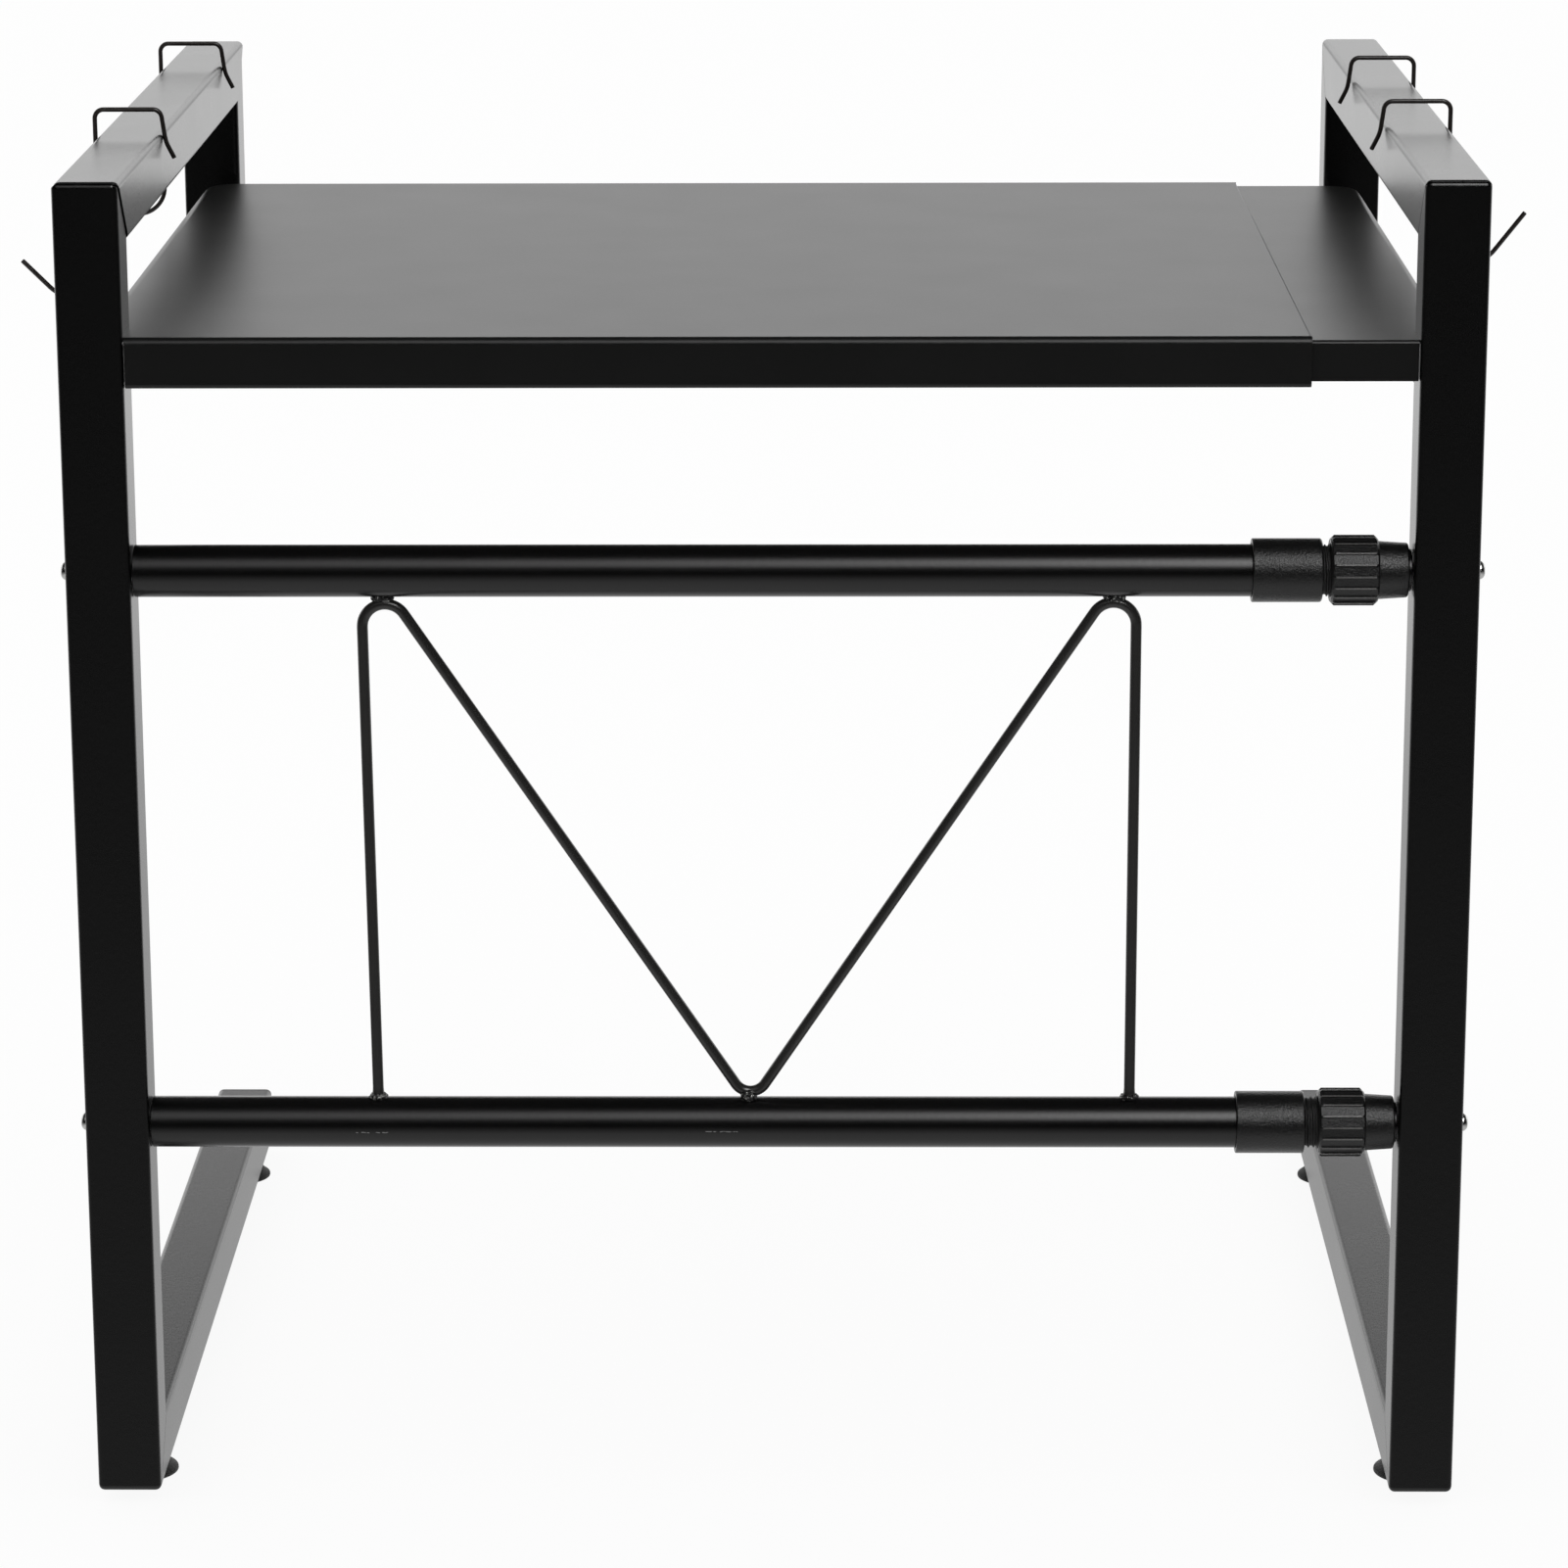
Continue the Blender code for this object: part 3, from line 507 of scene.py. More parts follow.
def inset(width):
    bpy.ops.mesh.inset(thickness=width, use_even_offset=True)


def face_out():
    bpy.ops.mesh.select_mode(type="VERT")
    bpy.ops.mesh.select_all(action="SELECT")
    bpy.ops.mesh.remove_doubles(threshold=0.000005)
    bpy.ops.mesh.normals_make_consistent(inside=False)


def modify(piece, kind, **settings):
    bpy.ops.object.mode_set(mode="OBJECT")
    take(piece)
    step = piece.modifiers.new(kind.lower(), kind)
    for name, value in settings.items():
        setattr(step, name, value)
    bpy.ops.object.modifier_apply(modifier=step.name)


def complete(piece, material, body, nodes=(), degrees=32):
    """Smooths a piece, keeps its flats flat, and gives it its finish and body."""
    bpy.ops.object.mode_set(mode="OBJECT")
    take(piece)
    bpy.ops.object.shade_smooth_by_angle(angle=math.radians(degrees))
    modify(piece, "WEIGHTED_NORMAL", keep_sharp=True)
    piece.data.materials.clear()
    piece.data.materials.append(material)
    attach(piece, body)
    if nodes:
        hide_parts(*nodes)
    return piece


def join(first, others):
    bpy.ops.object.mode_set(mode="OBJECT")
    clear_selection()
    for other in others:
        other.select_set(True)
    first.select_set(True)
    bpy.context.view_layer.objects.active = first
    bpy.ops.object.join()
    return first


def near(value, target, slack=0.00002):
    return abs(value - target) < slack


# ---------------------------------------------------------------- side frames


def mitred_tube(name, low, high, axis, cuts, core):
    """Square tube with rounded edges, its mitred ends cut on slanted planes through a corner."""
    low, high = Vector(low), Vector(high)
    piece = begin(
        name, bpy.ops.mesh.primitive_cube_add, size=1, location=(low + high) / 2, scale=high - low
    )
    mitred = [corner[axis] for corner, _ in cuts]

    def rounded(edge):
        ends = [vert.co[axis] for vert in edge.verts]
        return not near(*ends) or any(near(ends[0], place) for place in mitred)

    pick(piece, "EDGE", rounded)
    round_edges(TUBE_CORNER, 6)
    for corner, away in cuts:
        direction = Vector(away).normalized()
        point = Vector(corner) - direction * GAP / 2
        bpy.ops.mesh.select_mode(type="FACE")
        bpy.ops.mesh.select_all(action="SELECT")
        bpy.ops.mesh.bisect(
            plane_co=point, plane_no=direction, use_fill=True, clear_outer=True
        )

        def on_plane(item):
            return all(abs((vert.co - point).dot(direction)) < 0.00002 for vert in item.verts)

        pick(piece, "EDGE", on_plane)
        round_edges(SEAM_EDGE, 2)
        if core:
            pick(piece, "FACE", on_plane)
            inset(WELD_INSET)
            move_out(*(direction * WELD_RISE))
    face_out()
    return piece


def end_plug(name, centre, axis, outward):
    """Moulded plug: a flange with rounded edges and a shallow dish pressed into its outer face."""
    size = [TUBE, TUBE, TUBE]
    size[axis] = PLUG_FLANGE
    piece = begin(name, bpy.ops.mesh.primitive_cube_add, size=1, location=centre, scale=size)

    def runs_along(edge):
        way = (edge.verts[1].co - edge.verts[0].co).normalized()
        return abs(way[axis]) > 0.99

    pick(piece, "EDGE", runs_along)
    round_edges(TUBE_CORNER, 5)
    outer = centre[axis] + outward * PLUG_FLANGE / 2

    def on_rim(edge):
        return all(near(vert.co[axis], outer) for vert in edge.verts)

    pick(piece, "EDGE", on_rim)
    round_edges(0.0004, 3)

    def outside(face):
        return abs(face.normal[axis]) > 0.99 and near(face.calc_center_median()[axis], outer)

    pick(piece, "FACE", outside)
    inset(PLUG_DISH_INSET)
    inset(PLUG_DISH)
    shift = [0, 0, 0]
    shift[axis] = -outward * PLUG_DISH
    bpy.ops.transform.translate(value=shift)
    return piece


def rubber_foot(name, x, y):
    """Bell-shaped foot: a low skirt drawn in and up to the rail."""
    skirt = FOOT_SKIRT
    shoulder = FOOT_HEIGHT - GAP
    neck = shoulder - skirt * 1.45
    piece = begin(
        name, bpy.ops.mesh.primitive_cylinder_add, vertices=64, radius=FOOT_BASE_RADIUS,
        depth=skirt, location=(x, y, skirt / 2)
    )
    centre = (x, y, 0)
    pick(piece, "FACE", lambda face: face.normal.z > 0.9)
    move_out(z=skirt * 0.45)
    swell(centre, 0.955, 0.955)
    move_out(z=neck * 0.35)
    swell(centre, 0.90, 0.90)
    move_out(z=neck * 0.65)
    swell(centre, 0.885, 0.885)
    pick(piece, "EDGE", lambda edge: all(near(vert.co.z, shoulder) for vert in edge.verts))
    round_edges(0.0004, 3)
    pick(piece, "EDGE", lambda edge: all(near(vert.co.z, 0) for vert in edge.verts))
    round_edges(0.0002, 2)
    pick(piece, "EDGE", lambda edge: all(near(vert.co.z, skirt) for vert in edge.verts))
    round_edges(0.0003, 3)
    pick(piece, "FACE", lambda face: all(near(vert.co.z, 0) for vert in face.verts))
    inset(0.003)
    move_out(z=FOOT_HOLLOW)
    face_out()
    return piece


def side_frame(side):
    word = "left" if side < 0 else "right"
    body = word + "_half"
    x = side * SIDE_X
    near_x = x - TUBE / 2
    far_x = x + TUBE / 2
    top_front = (x, FRONT_Y, HEIGHT)
    top_rear = (x, REAR_Y, HEIGHT)
    low_front = (x, FRONT_Y, FOOT_HEIGHT)
    rail_top = FOOT_HEIGHT + TUBE
    step = RAIL_STEP if side < 0 else 0.0

    post = mitred_tube(
        f"front_post_{word}_tube", (near_x, FRONT_Y, FOOT_HEIGHT),
        (far_x, FRONT_Y + TUBE, HEIGHT), 2, ((top_front, (0, 1, 1)), (low_front, (0, 1, -1))), True
    )
    complete(post, TUBE_COAT, body, [f"front_post_{word}"])
    top = mitred_tube(
        f"top_rail_{word}_tube", (near_x + step, FRONT_Y, HEIGHT - TUBE),
        (far_x + step, REAR_Y, HEIGHT), 1, ((top_front, (0, -1, -1)), (top_rear, (0, 1, -1))), False
    )
    complete(top, TUBE_COAT, body, [f"top_rail_{word}"])
    rear = mitred_tube(
        f"rear_post_{word}_tube", (near_x, REAR_Y - TUBE, REAR_POST_FOOT),
        (far_x, REAR_Y, HEIGHT), 2, ((top_rear, (0, -1, 1)),), True
    )
    complete(rear, TUBE_COAT, body, [f"rear_post_{word}"])
    rail = mitred_tube(
        f"bottom_rail_{word}_tube", (near_x, FRONT_Y, FOOT_HEIGHT),
        (far_x, REAR_Y - GAP, rail_top), 1, ((low_front, (0, -1, 1)),), False
    )
    complete(rail, TUBE_COAT, body, [f"bottom_rail_{word}"])

    rail_end = (x, REAR_Y + PLUG_FLANGE / 2, FOOT_HEIGHT + TUBE / 2)
    plug = end_plug(f"rail_plug_{word}_cap", rail_end, 1, 1)
    complete(plug, PLUG_PLASTIC, body, [f"rail_plug_{word}"])
    post_end = (x, REAR_Y - TUBE / 2, REAR_POST_FOOT - GAP - PLUG_FLANGE / 2)
    plug = end_plug(f"rear_post_plug_{word}_cap", post_end, 2, -1)
    complete(plug, PLUG_PLASTIC, body, [f"rear_post_plug_{word}"])

    for place_word, y in (("front", -FOOT_Y), ("rear", FOOT_Y)):
        foot = rubber_foot(f"foot_{place_word}_{word}_bell", x, y)
        complete(foot, FOOT_RUBBER, body, [f"foot_{place_word}_{word}"], 50)


# ---------------------------------------------------------------- shelf


def folded_sheet(name, side, side_x, end_x, top, front_y, rear_y, apron_foot, bends, lip):
    """Flat sheet folded down in front, at its side and behind; the other end is cut square."""
    notch_x = side * (POST_INNER_X - GAP)
    notch_y = FRONT_Y + TUBE + GAP
    front_bend, rim_bend = bends
    centre = ((side_x + end_x) / 2, (front_y + rear_y) / 2, top)
    piece = begin(name, bpy.ops.mesh.primitive_plane_add, size=1, location=centre)
    swell(centre, abs(side_x - end_x), rear_y - front_y)
    for point, normal in (((notch_x, 0, 0), (1, 0, 0)), ((0, notch_y, 0), (0, 1, 0))):
        bpy.ops.mesh.select_all(action="SELECT")
        bpy.ops.mesh.bisect(plane_co=point, plane_no=normal)
    pick(
        piece, "FACE",
        lambda face: side * face.calc_center_median().x > POST_INNER_X - GAP
        and face.calc_center_median().y < notch_y
    )
    bpy.ops.mesh.delete(type="FACE")
    pick(piece, "EDGE", lambda edge: len(edge.link_faces) == 2)
    bpy.ops.mesh.dissolve_edges(use_verts=True)
    pick(piece, "VERT", lambda vert: near(vert.co.x, side_x) and near(vert.co.y, rear_y))
    bpy.ops.mesh.bevel(offset=SHELF_REAR_CORNER, segments=10, affect="VERTICES")

    def on_front(edge):
        return all(near(vert.co.y, front_y) for vert in edge.verts)

    def on_rim(edge):
        if not edge.is_boundary or on_front(edge):
            return False
        middle = (edge.verts[0].co + edge.verts[1].co) / 2
        return not near(middle.x, end_x) and middle.y > notch_y + 0.0001

    pick(piece, "EDGE", on_front)
    move_out(z=apron_foot - top)
    if lip > 0:
        move_out(y=lip)
    pick(piece, "EDGE", lambda edge: on_rim(edge) and all(
        near(vert.co.z, top) for vert in edge.verts))
    move_out(z=SHELF_TOP - RIM_DEPTH - top)
    face_out()

    def folded(edge):
        if len(edge.link_faces) != 2 or not all(near(vert.co.z, top) for vert in edge.verts):
            return False
        return min(abs(face.normal.z) for face in edge.link_faces) < 0.1

    pick(piece, "EDGE", lambda edge: folded(edge) and on_front(edge))
    round_edges(front_bend, 8)
    if lip > 0:
        pick(piece, "EDGE", lambda edge: len(edge.link_faces) == 2 and all(
            near(vert.co.z, apron_foot) and near(vert.co.y, front_y) for vert in edge.verts))
        round_edges(APRON_LIP_BEND, 5)
    pick(piece, "EDGE", lambda edge: folded(edge) and not on_front(edge))
    round_edges(rim_bend, 8)
    pick(piece, "EDGE", lambda edge: on_front(edge) and all(
        near(vert.co.x, notch_x) for vert in edge.verts))
    move_out(y=APRON_LIP)
    face_out()
    bpy.ops.object.mode_set(mode="OBJECT")
    widest = max(piece.data.polygons, key=lambda face: face.area)
    if widest.normal.z < 0:
        piece.data.flip_normals()
    modify(
        piece, "SOLIDIFY", thickness=SHEET, offset=-1, use_even_offset=True,
        use_quality_normals=True
    )
    bpy.ops.object.mode_set(mode="EDIT")
    pick(piece, "EDGE", lambda edge: all(
        near(vert.co.x, end_x) and near(vert.co.z, top) for vert in edge.verts))
    round_edges(CUT_ROUNDING, 4)
    bpy.ops.object.mode_set(mode="OBJECT")
    modify(
        piece, "BEVEL", width=CUT_BURR, segments=2, limit_method="ANGLE",
        angle_limit=math.radians(50)
    )
    return piece


def shelf():
    front = FRONT_Y + APRON_SETBACK
    step = SHEET + GAP
    outer = folded_sheet(
        "outer_shelf_sheet", -1, -SHELF_SIDE, OUTER_SHELF_END, SHELF_TOP, front, SHELF_REAR,
        SHELF_TOP - APRON_HEIGHT, (FRONT_BEND, RIM_BEND), APRON_LIP
    )
    complete(outer, SHELF_COAT, "left_half", ["outer_shelf"])
    inner = folded_sheet(
        "inner_shelf_sheet", 1, SHELF_SIDE, INNER_SHELF_END, SHELF_TOP - step, front + step,
        SHELF_REAR - step, SHELF_TOP - APRON_HEIGHT + INNER_APRON_RISE,
        (FRONT_BEND - SHEET, RIM_BEND - SHEET), 0
    )
    complete(inner, SHELF_COAT, "right_half", ["inner_shelf"])


# ---------------------------------------------------------------- crossbars and locks


def along_x(name, radius, start, end, z, vertices):
    return begin(
        name, bpy.ops.mesh.primitive_cylinder_add, vertices=vertices, radius=radius,
        depth=end - start, location=((start + end) / 2, BAR_Y, z), rotation=(0, math.pi / 2, 0)
    )


def off_axis(point, z):
    return math.hypot(point.y - BAR_Y, point.z - z)


def end_face(x, facing):
    return lambda face: facing * face.normal.x > 0.9 and near(face.calc_center_median().x, x)


def end_rim(x, z, radius):
    return lambda edge: all(
        near(vert.co.x, x) and near(off_axis(vert.co, z), radius, 0.00004) for vert in edge.verts
    )


def bridge_bore(piece, z, radius):
    """Opens a bore between the two end faces of its radius and walls it."""
    def closing(face):
        corners = [off_axis(vert.co, z) for vert in face.verts]
        return abs(face.normal.x) > 0.9 and all(near(corner, radius, 0.00004) for corner in corners)

    pick(piece, "FACE", closing)
    bpy.ops.mesh.delete(type="FACE")
    pick(piece, "EDGE", lambda edge: edge.is_boundary)
    bpy.ops.mesh.bridge_edge_loops()


def round_bar(name, radius, start, end, z):
    piece = along_x(name, radius, start, end, z, 96)
    pick(piece, "FACE", lambda face: abs(face.normal.x) > 0.9)
    bpy.ops.mesh.inset(thickness=BAR_WALL, use_individual=True)
    bridge_bore(piece, z, radius - BAR_WALL)
    rims = (end_rim(start, z, radius), end_rim(end, z, radius))
    pick(piece, "EDGE", lambda edge: any(on_rim(edge) for on_rim in rims))
    round_edges(BAR_END_ROUNDING, 2)
    face_out()
    return piece


def thread(name, start, z):
    """Raised helix, closed at both ends."""
    crest = NOSE_RADIUS + THREAD_HEIGHT
    root = NOSE_RADIUS - THREAD_SINK
    middle = (start, BAR_Y, z + (crest + root) / 2)
    piece = begin(
        name, bpy.ops.mesh.primitive_plane_add, size=1, location=middle,
        rotation=(math.pi / 2, 0, 0)
    )
    swell(middle, THREAD_PITCH * THREAD_FOOT_SHARE, 1, crest - root)
    pick(piece, "VERT", lambda vert: near(vert.co.z, z + crest))
    swell((start, BAR_Y, z + crest), x=THREAD_CREST_SHARE)
    bpy.ops.object.mode_set(mode="OBJECT")
    bpy.context.scene.cursor.location = (start, BAR_Y, z)
    bpy.ops.object.origin_set(type="ORIGIN_CURSOR")
    modify(
        piece, "SCREW", axis="X", screw_offset=THREAD_PITCH, iterations=THREAD_TURNS, steps=48,
        render_steps=48, use_smooth_shade=False
    )
    bpy.ops.object.transform_apply(location=True, rotation=True, scale=True)
    bpy.ops.object.mode_set(mode="EDIT")
    bpy.ops.mesh.select_all(action="SELECT")
    bpy.ops.mesh.remove_doubles(threshold=0.000005)
    pick(piece, "EDGE", lambda edge: edge.is_boundary)
    bpy.ops.mesh.fill()
    face_out()
    return piece


def collar(name, start, z):
    """Moulded collar with a socket for the bar and a threaded nose."""
    end = start + COLLAR_LENGTH
    nose = end + NOSE_LENGTH
    piece = along_x(name, COLLAR_RADIUS, start, end, z, 96)
    pick(piece, "FACE", end_face(end, 1))
    inset(COLLAR_RADIUS - NOSE_RADIUS)
    move_out(x=NOSE_LENGTH)
    inset(NOSE_RADIUS - SLIDE_RADIUS)
    pick(piece, "FACE", end_face(start, -1))
    inset(COLLAR_RADIUS - BAR_RADIUS - GAP)
    move_out(x=SOCKET_DEPTH)
    inset(BAR_RADIUS + GAP - SLIDE_RADIUS)
    bridge_bore(piece, z, SLIDE_RADIUS)
    pick(piece, "EDGE", end_rim(end, z, COLLAR_RADIUS))
    round_edges(COLLAR_FRONT_ROUNDING, 4)
    pick(piece, "EDGE", end_rim(start, z, COLLAR_RADIUS))
    round_edges(COLLAR_BACK_ROUNDING, 3)
    pick(piece, "EDGE", end_rim(nose, z, NOSE_RADIUS))
    round_edges(NOSE_ROUNDING, 2)
    face_out()
    bpy.ops.object.mode_set(mode="OBJECT")
    return join(piece, [thread(name + "_thread", end + THREAD_PITCH * 0.5, z)])


def lock_nut(name, start, z, turn):
    """Nut of flats, a raised ridge on each corner, with a smooth tail; hollow for the thread."""
    rib_end = start + NUT_RIB_LENGTH
    end = start + NUT_LENGTH
    chamber = NOSE_RADIUS + THREAD_HEIGHT + GAP
    core_radius = (chamber + NUT_RADIUS) / 2
    corner_radius = NUT_RADIUS - NUT_RIB_HEIGHT - 0.0001

    core = along_x(name, core_radius, start + NUT_CORE_STEP, rib_end, z, 96)
    pick(core, "FACE", end_face(rib_end, 1))
    inset(core_radius - NUT_TAIL_RADIUS)
    move_out(x=end - rib_end)
    taper = NUT_TAIL_END_RADIUS / NUT_TAIL_RADIUS
    swell((end, BAR_Y, z), y=taper, z=taper)
    inset(NUT_TAIL_END_RADIUS - SLIDE_RADIUS)
    pick(core, "FACE", end_face(start + NUT_CORE_STEP, -1))
    inset(core_radius - chamber)
    move_out(x=NUT_CHAMBER_DEPTH)
    inset(chamber - SLIDE_RADIUS)
    bridge_bore(core, z, SLIDE_RADIUS)
    pick(core, "EDGE", end_rim(end, z, NUT_TAIL_END_RADIUS))
    round_edges(NUT_TAIL_ROUNDING, 5)
    face_out()
    bpy.ops.object.mode_set(mode="OBJECT")

    ring = along_x(name + "_ring", corner_radius, start, rib_end, z, NUT_RIBS)
    bpy.ops.mesh.select_all(action="SELECT")
    bpy.ops.transform.rotate(
        value=turn, orient_axis="X", orient_type="GLOBAL", center_override=(start, BAR_Y, z)
    )
    pick(ring, "EDGE", lambda edge: not near(edge.verts[0].co.x, edge.verts[1].co.x))
    round_edges(RIDGE_WIDTH / 2, 1)

    def ridge(face):
        corners = [vert.co for vert in face.verts if near(vert.co.x, start)]
        narrow = len(corners) == 2 and (corners[0] - corners[1]).length < 1.5 * RIDGE_WIDTH
        return abs(face.normal.x) < 0.1 and narrow

    pick(ring, "FACE", ridge)
    bpy.ops.mesh.extrude_region_shrink_fatten(
        TRANSFORM_OT_shrink_fatten={"value": NUT_RIB_HEIGHT + NUT_RIDGE_SPARE}
    )
    face_out()
    bpy.ops.object.mode_set(mode="OBJECT")
    envelope = along_x(name + "_envelope", NUT_RADIUS, start, rib_end, z, 96)
    pick(envelope, "EDGE", lambda edge: near(edge.verts[0].co.x, edge.verts[1].co.x))
    round_edges(NUT_CHAMFER, 1)
    face_out()
    bpy.ops.object.mode_set(mode="OBJECT")
    bore = along_x(name + "_bore", core_radius - NUT_RING_SINK, start - 0.01, rib_end + 0.01, z, 96)
    face_out()
    bpy.ops.object.mode_set(mode="OBJECT")
    modify(ring, "BOOLEAN", operation="INTERSECT", solver="EXACT", object=envelope)
    modify(ring, "BOOLEAN", operation="DIFFERENCE", solver="EXACT", object=bore)
    bpy.data.objects.remove(envelope)
    bpy.data.objects.remove(bore)
    modify(
        ring, "BEVEL", width=NUT_EDGE_ROUNDING, segments=3, limit_method="ANGLE",
        angle_limit=math.radians(28)
    )
    return join(core, [ring])


def screw(name, side, z):
    """Pan head screw with a cross recess, its shank through the post into the bar's plug."""
    base = side * (WIDTH / 2 + GAP)
    top = base + side * SCREW_HEIGHT
    length = GAP + TUBE + GAP + SCREW_GRIP
    piece = along_x(name, SCREW_RADIUS, min(base, top), max(base, top), z, 48)
    pick(piece, "EDGE", end_rim(top, z, SCREW_RADIUS))
    round_edges(SCREW_DOME, 8, 0.42)
    pick(piece, "FACE", lambda face: all(near(vert.co.x, base) for vert in face.verts))
    inset(SCREW_RADIUS - SCREW_SHANK_RADIUS)
    move_out(x=-side * (length - SCREW_POINT))
    move_out(x=-side * SCREW_POINT)
    swell((base, BAR_Y, z), y=0.4, z=0.4)
    face_out()
    bpy.ops.object.mode_set(mode="OBJECT")
    for turn in (0, math.pi / 2):
        blade = begin(
            name + "_blade", bpy.ops.mesh.primitive_cube_add, size=1,
            location=(top, BAR_Y, z), rotation=(turn + SCREW_SLOT_TURN, 0, 0), scale=SCREW_SLOT
        )
        bpy.ops.object.mode_set(mode="OBJECT")
        modify(piece, "BOOLEAN", operation="DIFFERENCE", solver="EXACT", object=blade)
        bpy.data.objects.remove(blade)
    return piece


# ---------------------------------------------------------------- bent wires


def bent_wire(name, corners, radii, y, radius, feet=()):
    """A disc drawn along straight runs and spun round each bend, all in one upright plane."""
    corners = [Vector((x, y, z)) for x, z in corners]
    way = (corners[1] - corners[0]).normalized()
    turn = way.to_track_quat("Z", "Y").to_euler()
    piece = begin(
        name, bpy.ops.mesh.primitive_circle_add, vertices=20, radius=radius, fill_type="NGON",
        location=corners[0], rotation=turn
    )
    bpy.ops.mesh.select_all(action="SELECT")
    place = corners[0].copy()
    for share, reach in feet:
        swell(place, share, share, share)
        move_out(*(way * reach))
        place += way * reach
        swell(place, 1 / share, 1 / share, 1 / share)
    for index in range(1, len(corners) - 1):
        way = (corners[index] - corners[index - 1]).normalized()
        ahead = (corners[index + 1] - corners[index]).normalized()
        angle = way.angle(ahead)
        setback = radii[index - 1] * math.tan(angle / 2)
        start = corners[index] - way * setback
        move_out(*(start - place))
        axis = way.cross(ahead).normalized()
        centre = start + axis.cross(way) * radii[index - 1]
        bpy.ops.mesh.spin(
            steps=max(4, round(28 * angle / math.pi)), angle=-angle, center=centre, axis=axis
        )
        place = corners[index] + ahead * setback
    way = (corners[-1] - corners[-2]).normalized()
    reach = sum(length for _, length in feet)
    move_out(*(corners[-1] - way * reach - place))
    place = corners[-1] - way * reach
    last = 1
    for share, length in reversed(feet):
        move_out(*(way * length))
        place = place + way * length
        swell(place, share / last, share / last, share / last)
        last = share
    face_out()
    return piece


def wire_ends(edge):
    """The sharp rims round the cut ends of a wire."""
    return len(edge.link_faces) == 2 and max(len(face.verts) for face in edge.link_faces) > 6


def brace_corners():
    low = LOWER_BAR_Z + BAR_RADIUS + GAP
    valley = low + WIRE_RADIUS
    crown = UPPER_BAR_Z - BAR_RADIUS - GAP - WIRE_RADIUS
    middle = (WIRE_LEFT + WIRE_RIGHT) / 2
    slant = math.radians(35)
    for _ in range(20):
        sine = math.sin(slant)
        corner_top = crown - WIRE_TOP_BEND + WIRE_TOP_BEND * (1 + math.cos(slant)) / sine
        corner_low = valley - WIRE_FOOT_BEND / sine + WIRE_FOOT_BEND
        slant = math.atan2(middle - WIRE_LEFT, corner_top - corner_low)
    return (
        (WIRE_LEFT + WIRE_LEAN, low),
        (WIRE_LEFT, corner_top),
        (middle, corner_low),
        (WIRE_RIGHT, corner_top),
        (WIRE_RIGHT, low),
    )


def weld_bead(name, place, size, turn):
    """A small uneven lump of weld; place is x, the way in front of the bar's middle, z."""
    centre = (place[0], BAR_Y - place[1], place[2])
    piece = begin(
        name, bpy.ops.mesh.primitive_ico_sphere_add, subdivisions=4, radius=1, location=centre,
        rotation=(turn, 0.4 * turn, 0)
    )
    swell(centre, *size)
    lumps = bpy.data.textures.new(name + "_lumps", "CLOUDS")
    lumps.noise_scale = WELD_LUMP
    lumps.noise_depth = 2
    modify(piece, "DISPLACE", texture=lumps, strength=WELD_LUMP, mid_level=0.5)
    return piece


def brace():
    corners = brace_corners()
    radii = (WIRE_TOP_BEND, WIRE_FOOT_BEND, WIRE_TOP_BEND)
    piece = bent_wire("brace_wire", corners, radii, BAR_Y, WIRE_RADIUS, BRACE_FEET)
    complete(piece, WIRE_COAT, "left_half", ["wire_brace"], 45)
    bar_top = LOWER_BAR_Z + BAR_RADIUS
    bar_foot = UPPER_BAR_Z - BAR_RADIUS
    middle = (WIRE_LEFT + WIRE_RIGHT) / 2
    apex = WIRE_TOP_BEND * 0.95
    foot = WIRE_LEFT + WIRE_LEAN
    rows = (
        ("", foot, 0.0003, bar_top + 0.0004, (0.0029, 0.0026, 0.0015), 0.3),
        ("_foot", WIRE_RIGHT, 0.0003, bar_top + 0.0003, (0.0030, 0.0027, 0.0013), 1.1),
        ("_valley", middle - 0.0005, 0.0012, bar_top + 0.0008, (0.0026, 0.0024, 0.0020), 2.0),
        ("_left", WIRE_LEFT + apex, 0.0, bar_foot - 0.0004, (0.0036, 0.0022, 0.0017), 2.9),
        ("_right", WIRE_RIGHT - apex, 0.0, bar_foot - 0.0004, (0.0036, 0.0022, 0.0017), 0.2),
    )
    beads = [
        weld_bead("brace_weld" + word, (x, forward, z), size, turn)
        for word, x, forward, z, size, turn in rows
    ]
    complete(join(beads[0], beads[1:]), WELD_METAL, "left_half", (), 60)


def hook(name, side, y, tip_z, tip_rise, throat_bend):
    leg = WIDTH / 2 + GAP + HOOK_WIRE_RADIUS
    corners = (
        (side * HOOK_TIP_X, tip_z),
        (side * leg, tip_z - tip_rise * (HOOK_TIP_X - leg)),
        (side * leg, HOOK_CROWN),
        (side * (HOOK_GRIP_X + HOOK_GRIP_SPLAY), HOOK_CROWN),
        (side * HOOK_GRIP_X, HOOK_GRIP_Z),
        (side * HOOK_GRIP_TIP[0], HOOK_GRIP_TIP[1]),
    )
    bends = (throat_bend, HOOK_CROWN_BEND, HOOK_CROWN_BEND, HOOK_GRIP_BEND)
    piece = bent_wire(name + "_wire", corners, bends, y, HOOK_WIRE_RADIUS)
    pick(piece, "EDGE", wire_ends)
    round_edges(HOOK_END_ROUNDING, 3)
    complete(piece, HOOK_COAT, name + "_body", [name], 45)


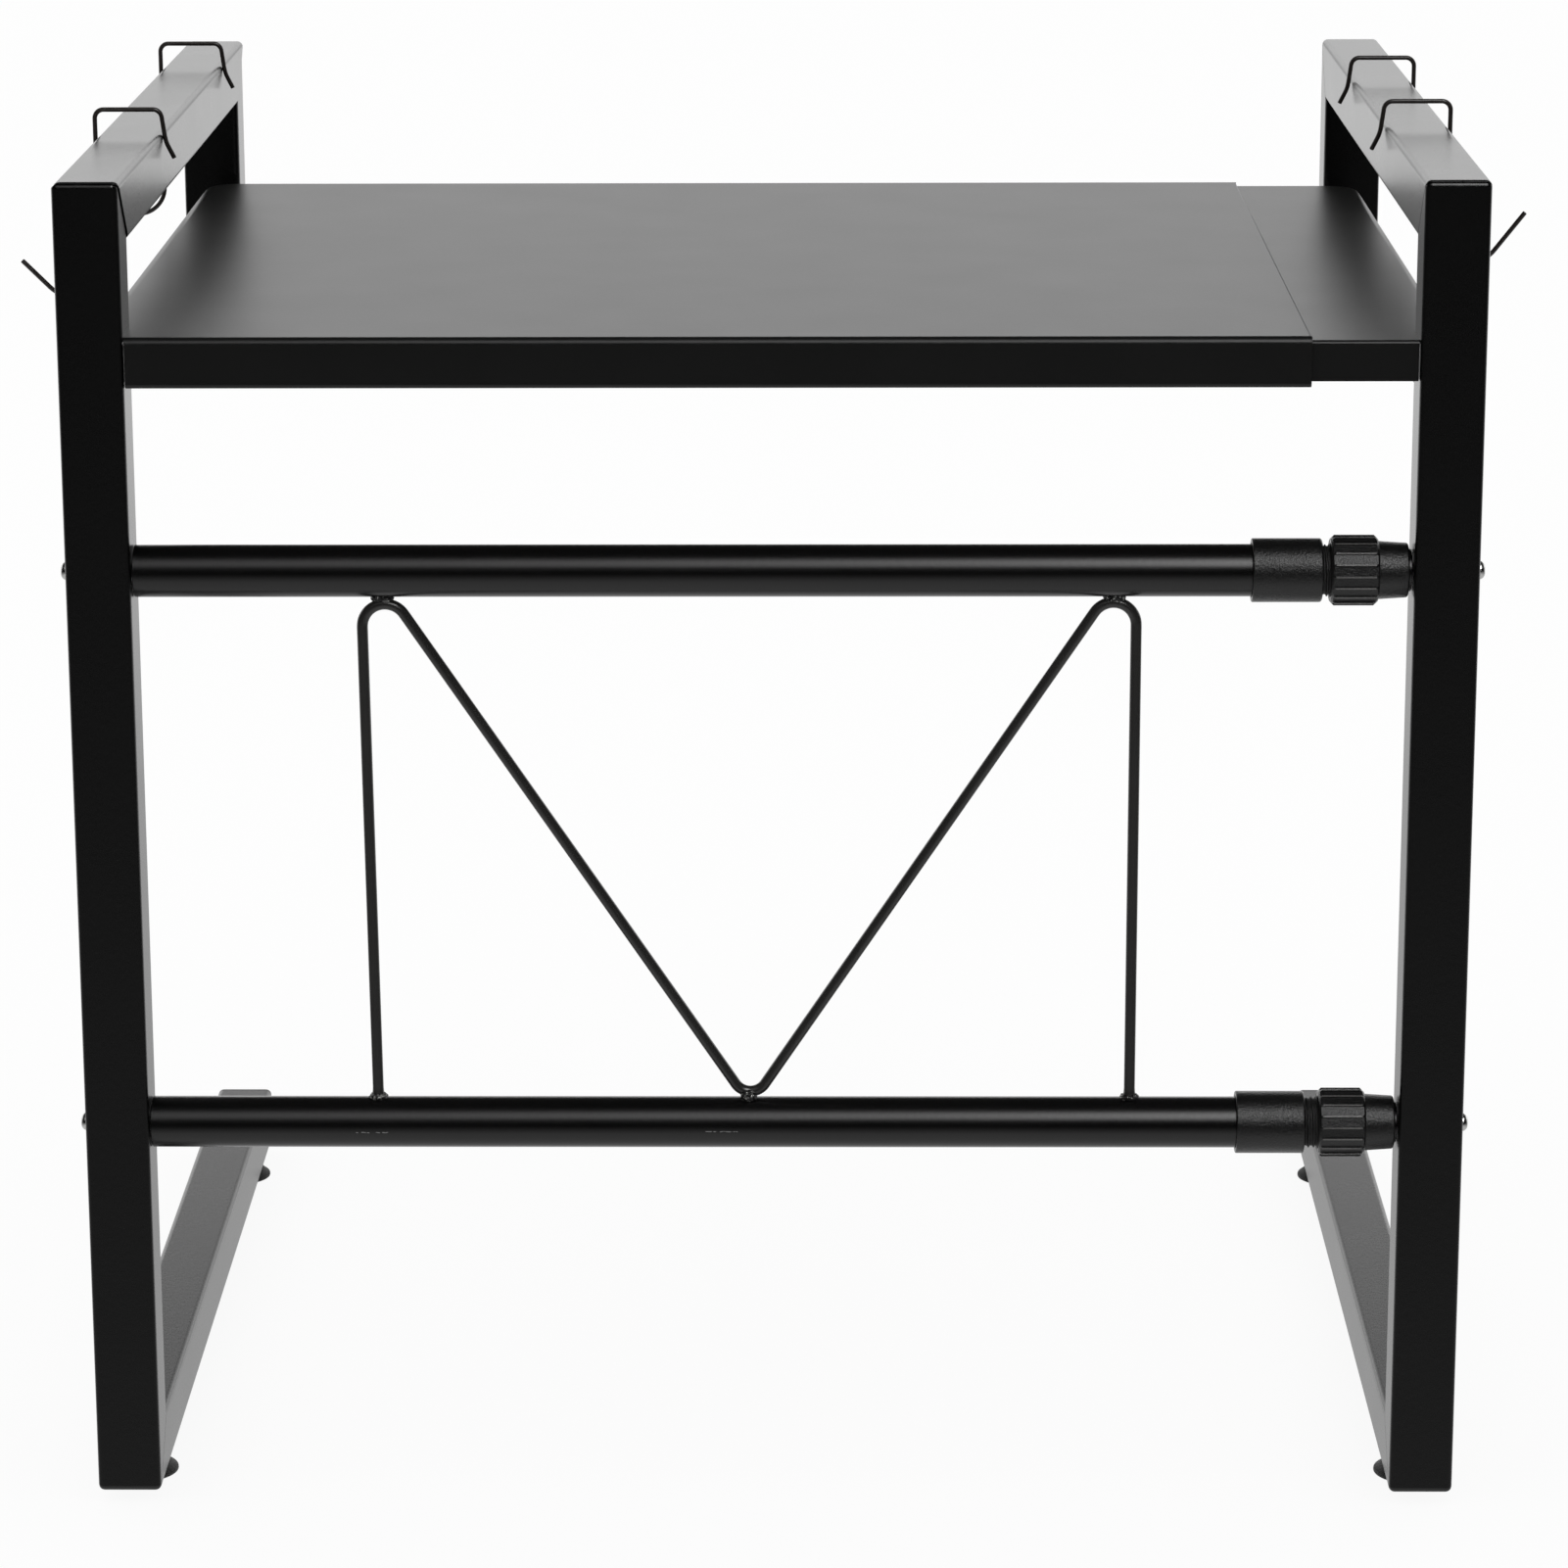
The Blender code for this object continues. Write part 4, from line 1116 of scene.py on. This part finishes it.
def crossbar(word, z, nut_start, shown):
    """One telescoping bar with its collar, its nut and its two screws."""
    collar_start = nut_start - shown - COLLAR_LENGTH
    bar_end = collar_start + SOCKET_DEPTH - GAP
    bar = round_bar(f"outer_bar_{word}_tube", BAR_RADIUS, GAP - POST_INNER_X, bar_end, z)
    complete(bar, BAR_COAT, "left_half", [f"outer_bar_{word}"])
    bar = round_bar(
        f"inner_bar_{word}_tube", INNER_BAR_RADIUS, INNER_BAR_START, POST_INNER_X - GAP, z
    )
    complete(bar, BAR_COAT, "right_half", [f"inner_bar_{word}"])
    moulding = collar(f"collar_{word}_moulding", collar_start, z)
    complete(moulding, LOCK_PLASTIC, "left_half", [f"collar_{word}"])
    nut = lock_nut(f"lock_nut_{word}_ribbed", nut_start, z, RIDGE_TURNS[word])
    complete(nut, LOCK_PLASTIC, f"lock_nut_{word}_body", [f"lock_nut_{word}"])
    for side, side_word in ((-1, "left"), (1, "right")):
        node = f"crossbar_screw_{word}_{side_word}"
        head = screw(node + "_pan", side, z)
        complete(head, ZINC_PLATE, side_word + "_half", [node])


def coat_hidden_nodes():
    """Coats the shelf's bearers and the bars' plugs, which keep the shape of their solids."""
    for name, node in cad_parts.items():
        if name.startswith("shelf_bearer") or name.startswith("bar_plug"):
            node.data.materials.clear()
            node.data.materials.append(TUBE_COAT if name.startswith("shelf") else ZINC_PLATE)


def make_stage():
    """White floor and backdrop, a dim room in front, and a soft lamp above it."""
    bpy.ops.mesh.primitive_plane_add(size=12, location=(0, 2, 0))
    floor = bpy.context.object
    floor.name = "floor"
    material = bpy.data.materials.new("floor")
    material.use_nodes = True
    shader = Shader(material.node_tree)
    surface = material.node_tree.nodes["Principled BSDF"]
    surface.inputs["Base Color"].default_value = FLOOR_COLOUR
    surface.inputs["Roughness"].default_value = 0.9
    surface.inputs["Specular IOR Level"].default_value = 0.1
    paper = Value(shader, surface.outputs[0])
    glow = shader.node("ShaderNodeEmission", {}, {"Color": WHITE})
    clear = shader.node("ShaderNodeBsdfTransparent", {}, {})
    share = shader.ray("Is Camera Ray") * FLOOR_GLOW
    white = shader.node("ShaderNodeMixShader", {}, {0: share, 1: paper, 2: glow})
    glossy = shader.ray("Is Glossy Ray")
    seen = shader.node("ShaderNodeMixShader", {}, {0: glossy, 1: white, 2: clear})
    shader.tree.links.new(seen.socket, shader.tree.nodes["Material Output"].inputs[0])
    floor.data.materials.append(material)

    world = bpy.data.worlds.new("studio")
    bpy.context.scene.world = world
    world.use_nodes = True
    shader = Shader(world.node_tree)
    way = shader.node("ShaderNodeTexCoord", {}, {}, "Generated")
    up = shader.part(way, 2)
    ahead = shader.part(way, 1)
    behind = shader.ramp(ahead, *BACK_SIDES) * shader.ramp(up, *BACK_EDGE, 1.0, BACK_REST)
    gleam = shader.ramp(up, *TABLE_NEAR) * shader.ramp(up, *TABLE_FAR, TABLE_GLEAM, 0.0)
    behind = behind * (shader.ramp(up, *BACK_RISE, *BACK_LEVELS, "LINEAR") + gleam)
    below = shader.ramp(up, *FLOOR_RANGE, ROOM_LEVEL, FLOOR_LEVEL, "LINEAR")
    across = shader.part(way, 0)
    lamp = shader.ramp(across, *LAMP_NEAR_SIDE, 0.0, LAMP_LEVEL)
    lamp = lamp * shader.ramp(across, *LAMP_FAR_SIDE, 1.0, 0.0)
    ceiling = shader.ramp(abs(across), *CEILING_SIDE, CEILING_LEVEL, 0.0)
    above = shader.ramp(up, *LAMP_LOW) * shader.ramp(up, *LAMP_HIGH, 1.0, 0.0)
    before = (lamp + ceiling) * above * shader.ramp(ahead, *FRONT_SIDES)
    sheen = shader.larger(shader.larger(behind, before), below)
    soft = shader.ramp(up, *SOFT_RANGE, SIDE_LEVEL, TOP_LEVEL)
    seen = shader.ray("Is Camera Ray")
    glossy = shader.ray("Is Glossy Ray")
    level = seen + (1 - seen) * (glossy * sheen + (1 - glossy) * soft)
    background = world.node_tree.nodes["Background"]
    background.inputs["Color"].default_value = WHITE
    world.node_tree.links.new(level.socket, background.inputs["Strength"])


make_camera()
side_frame(-1)
side_frame(1)
shelf()
for lock in LOCKS:
    crossbar(*lock)
brace()
for row in HOOKS:
    hook(*row)
coat_hidden_nodes()
make_stage()
bpy.context.scene.view_settings.view_transform = "Standard"
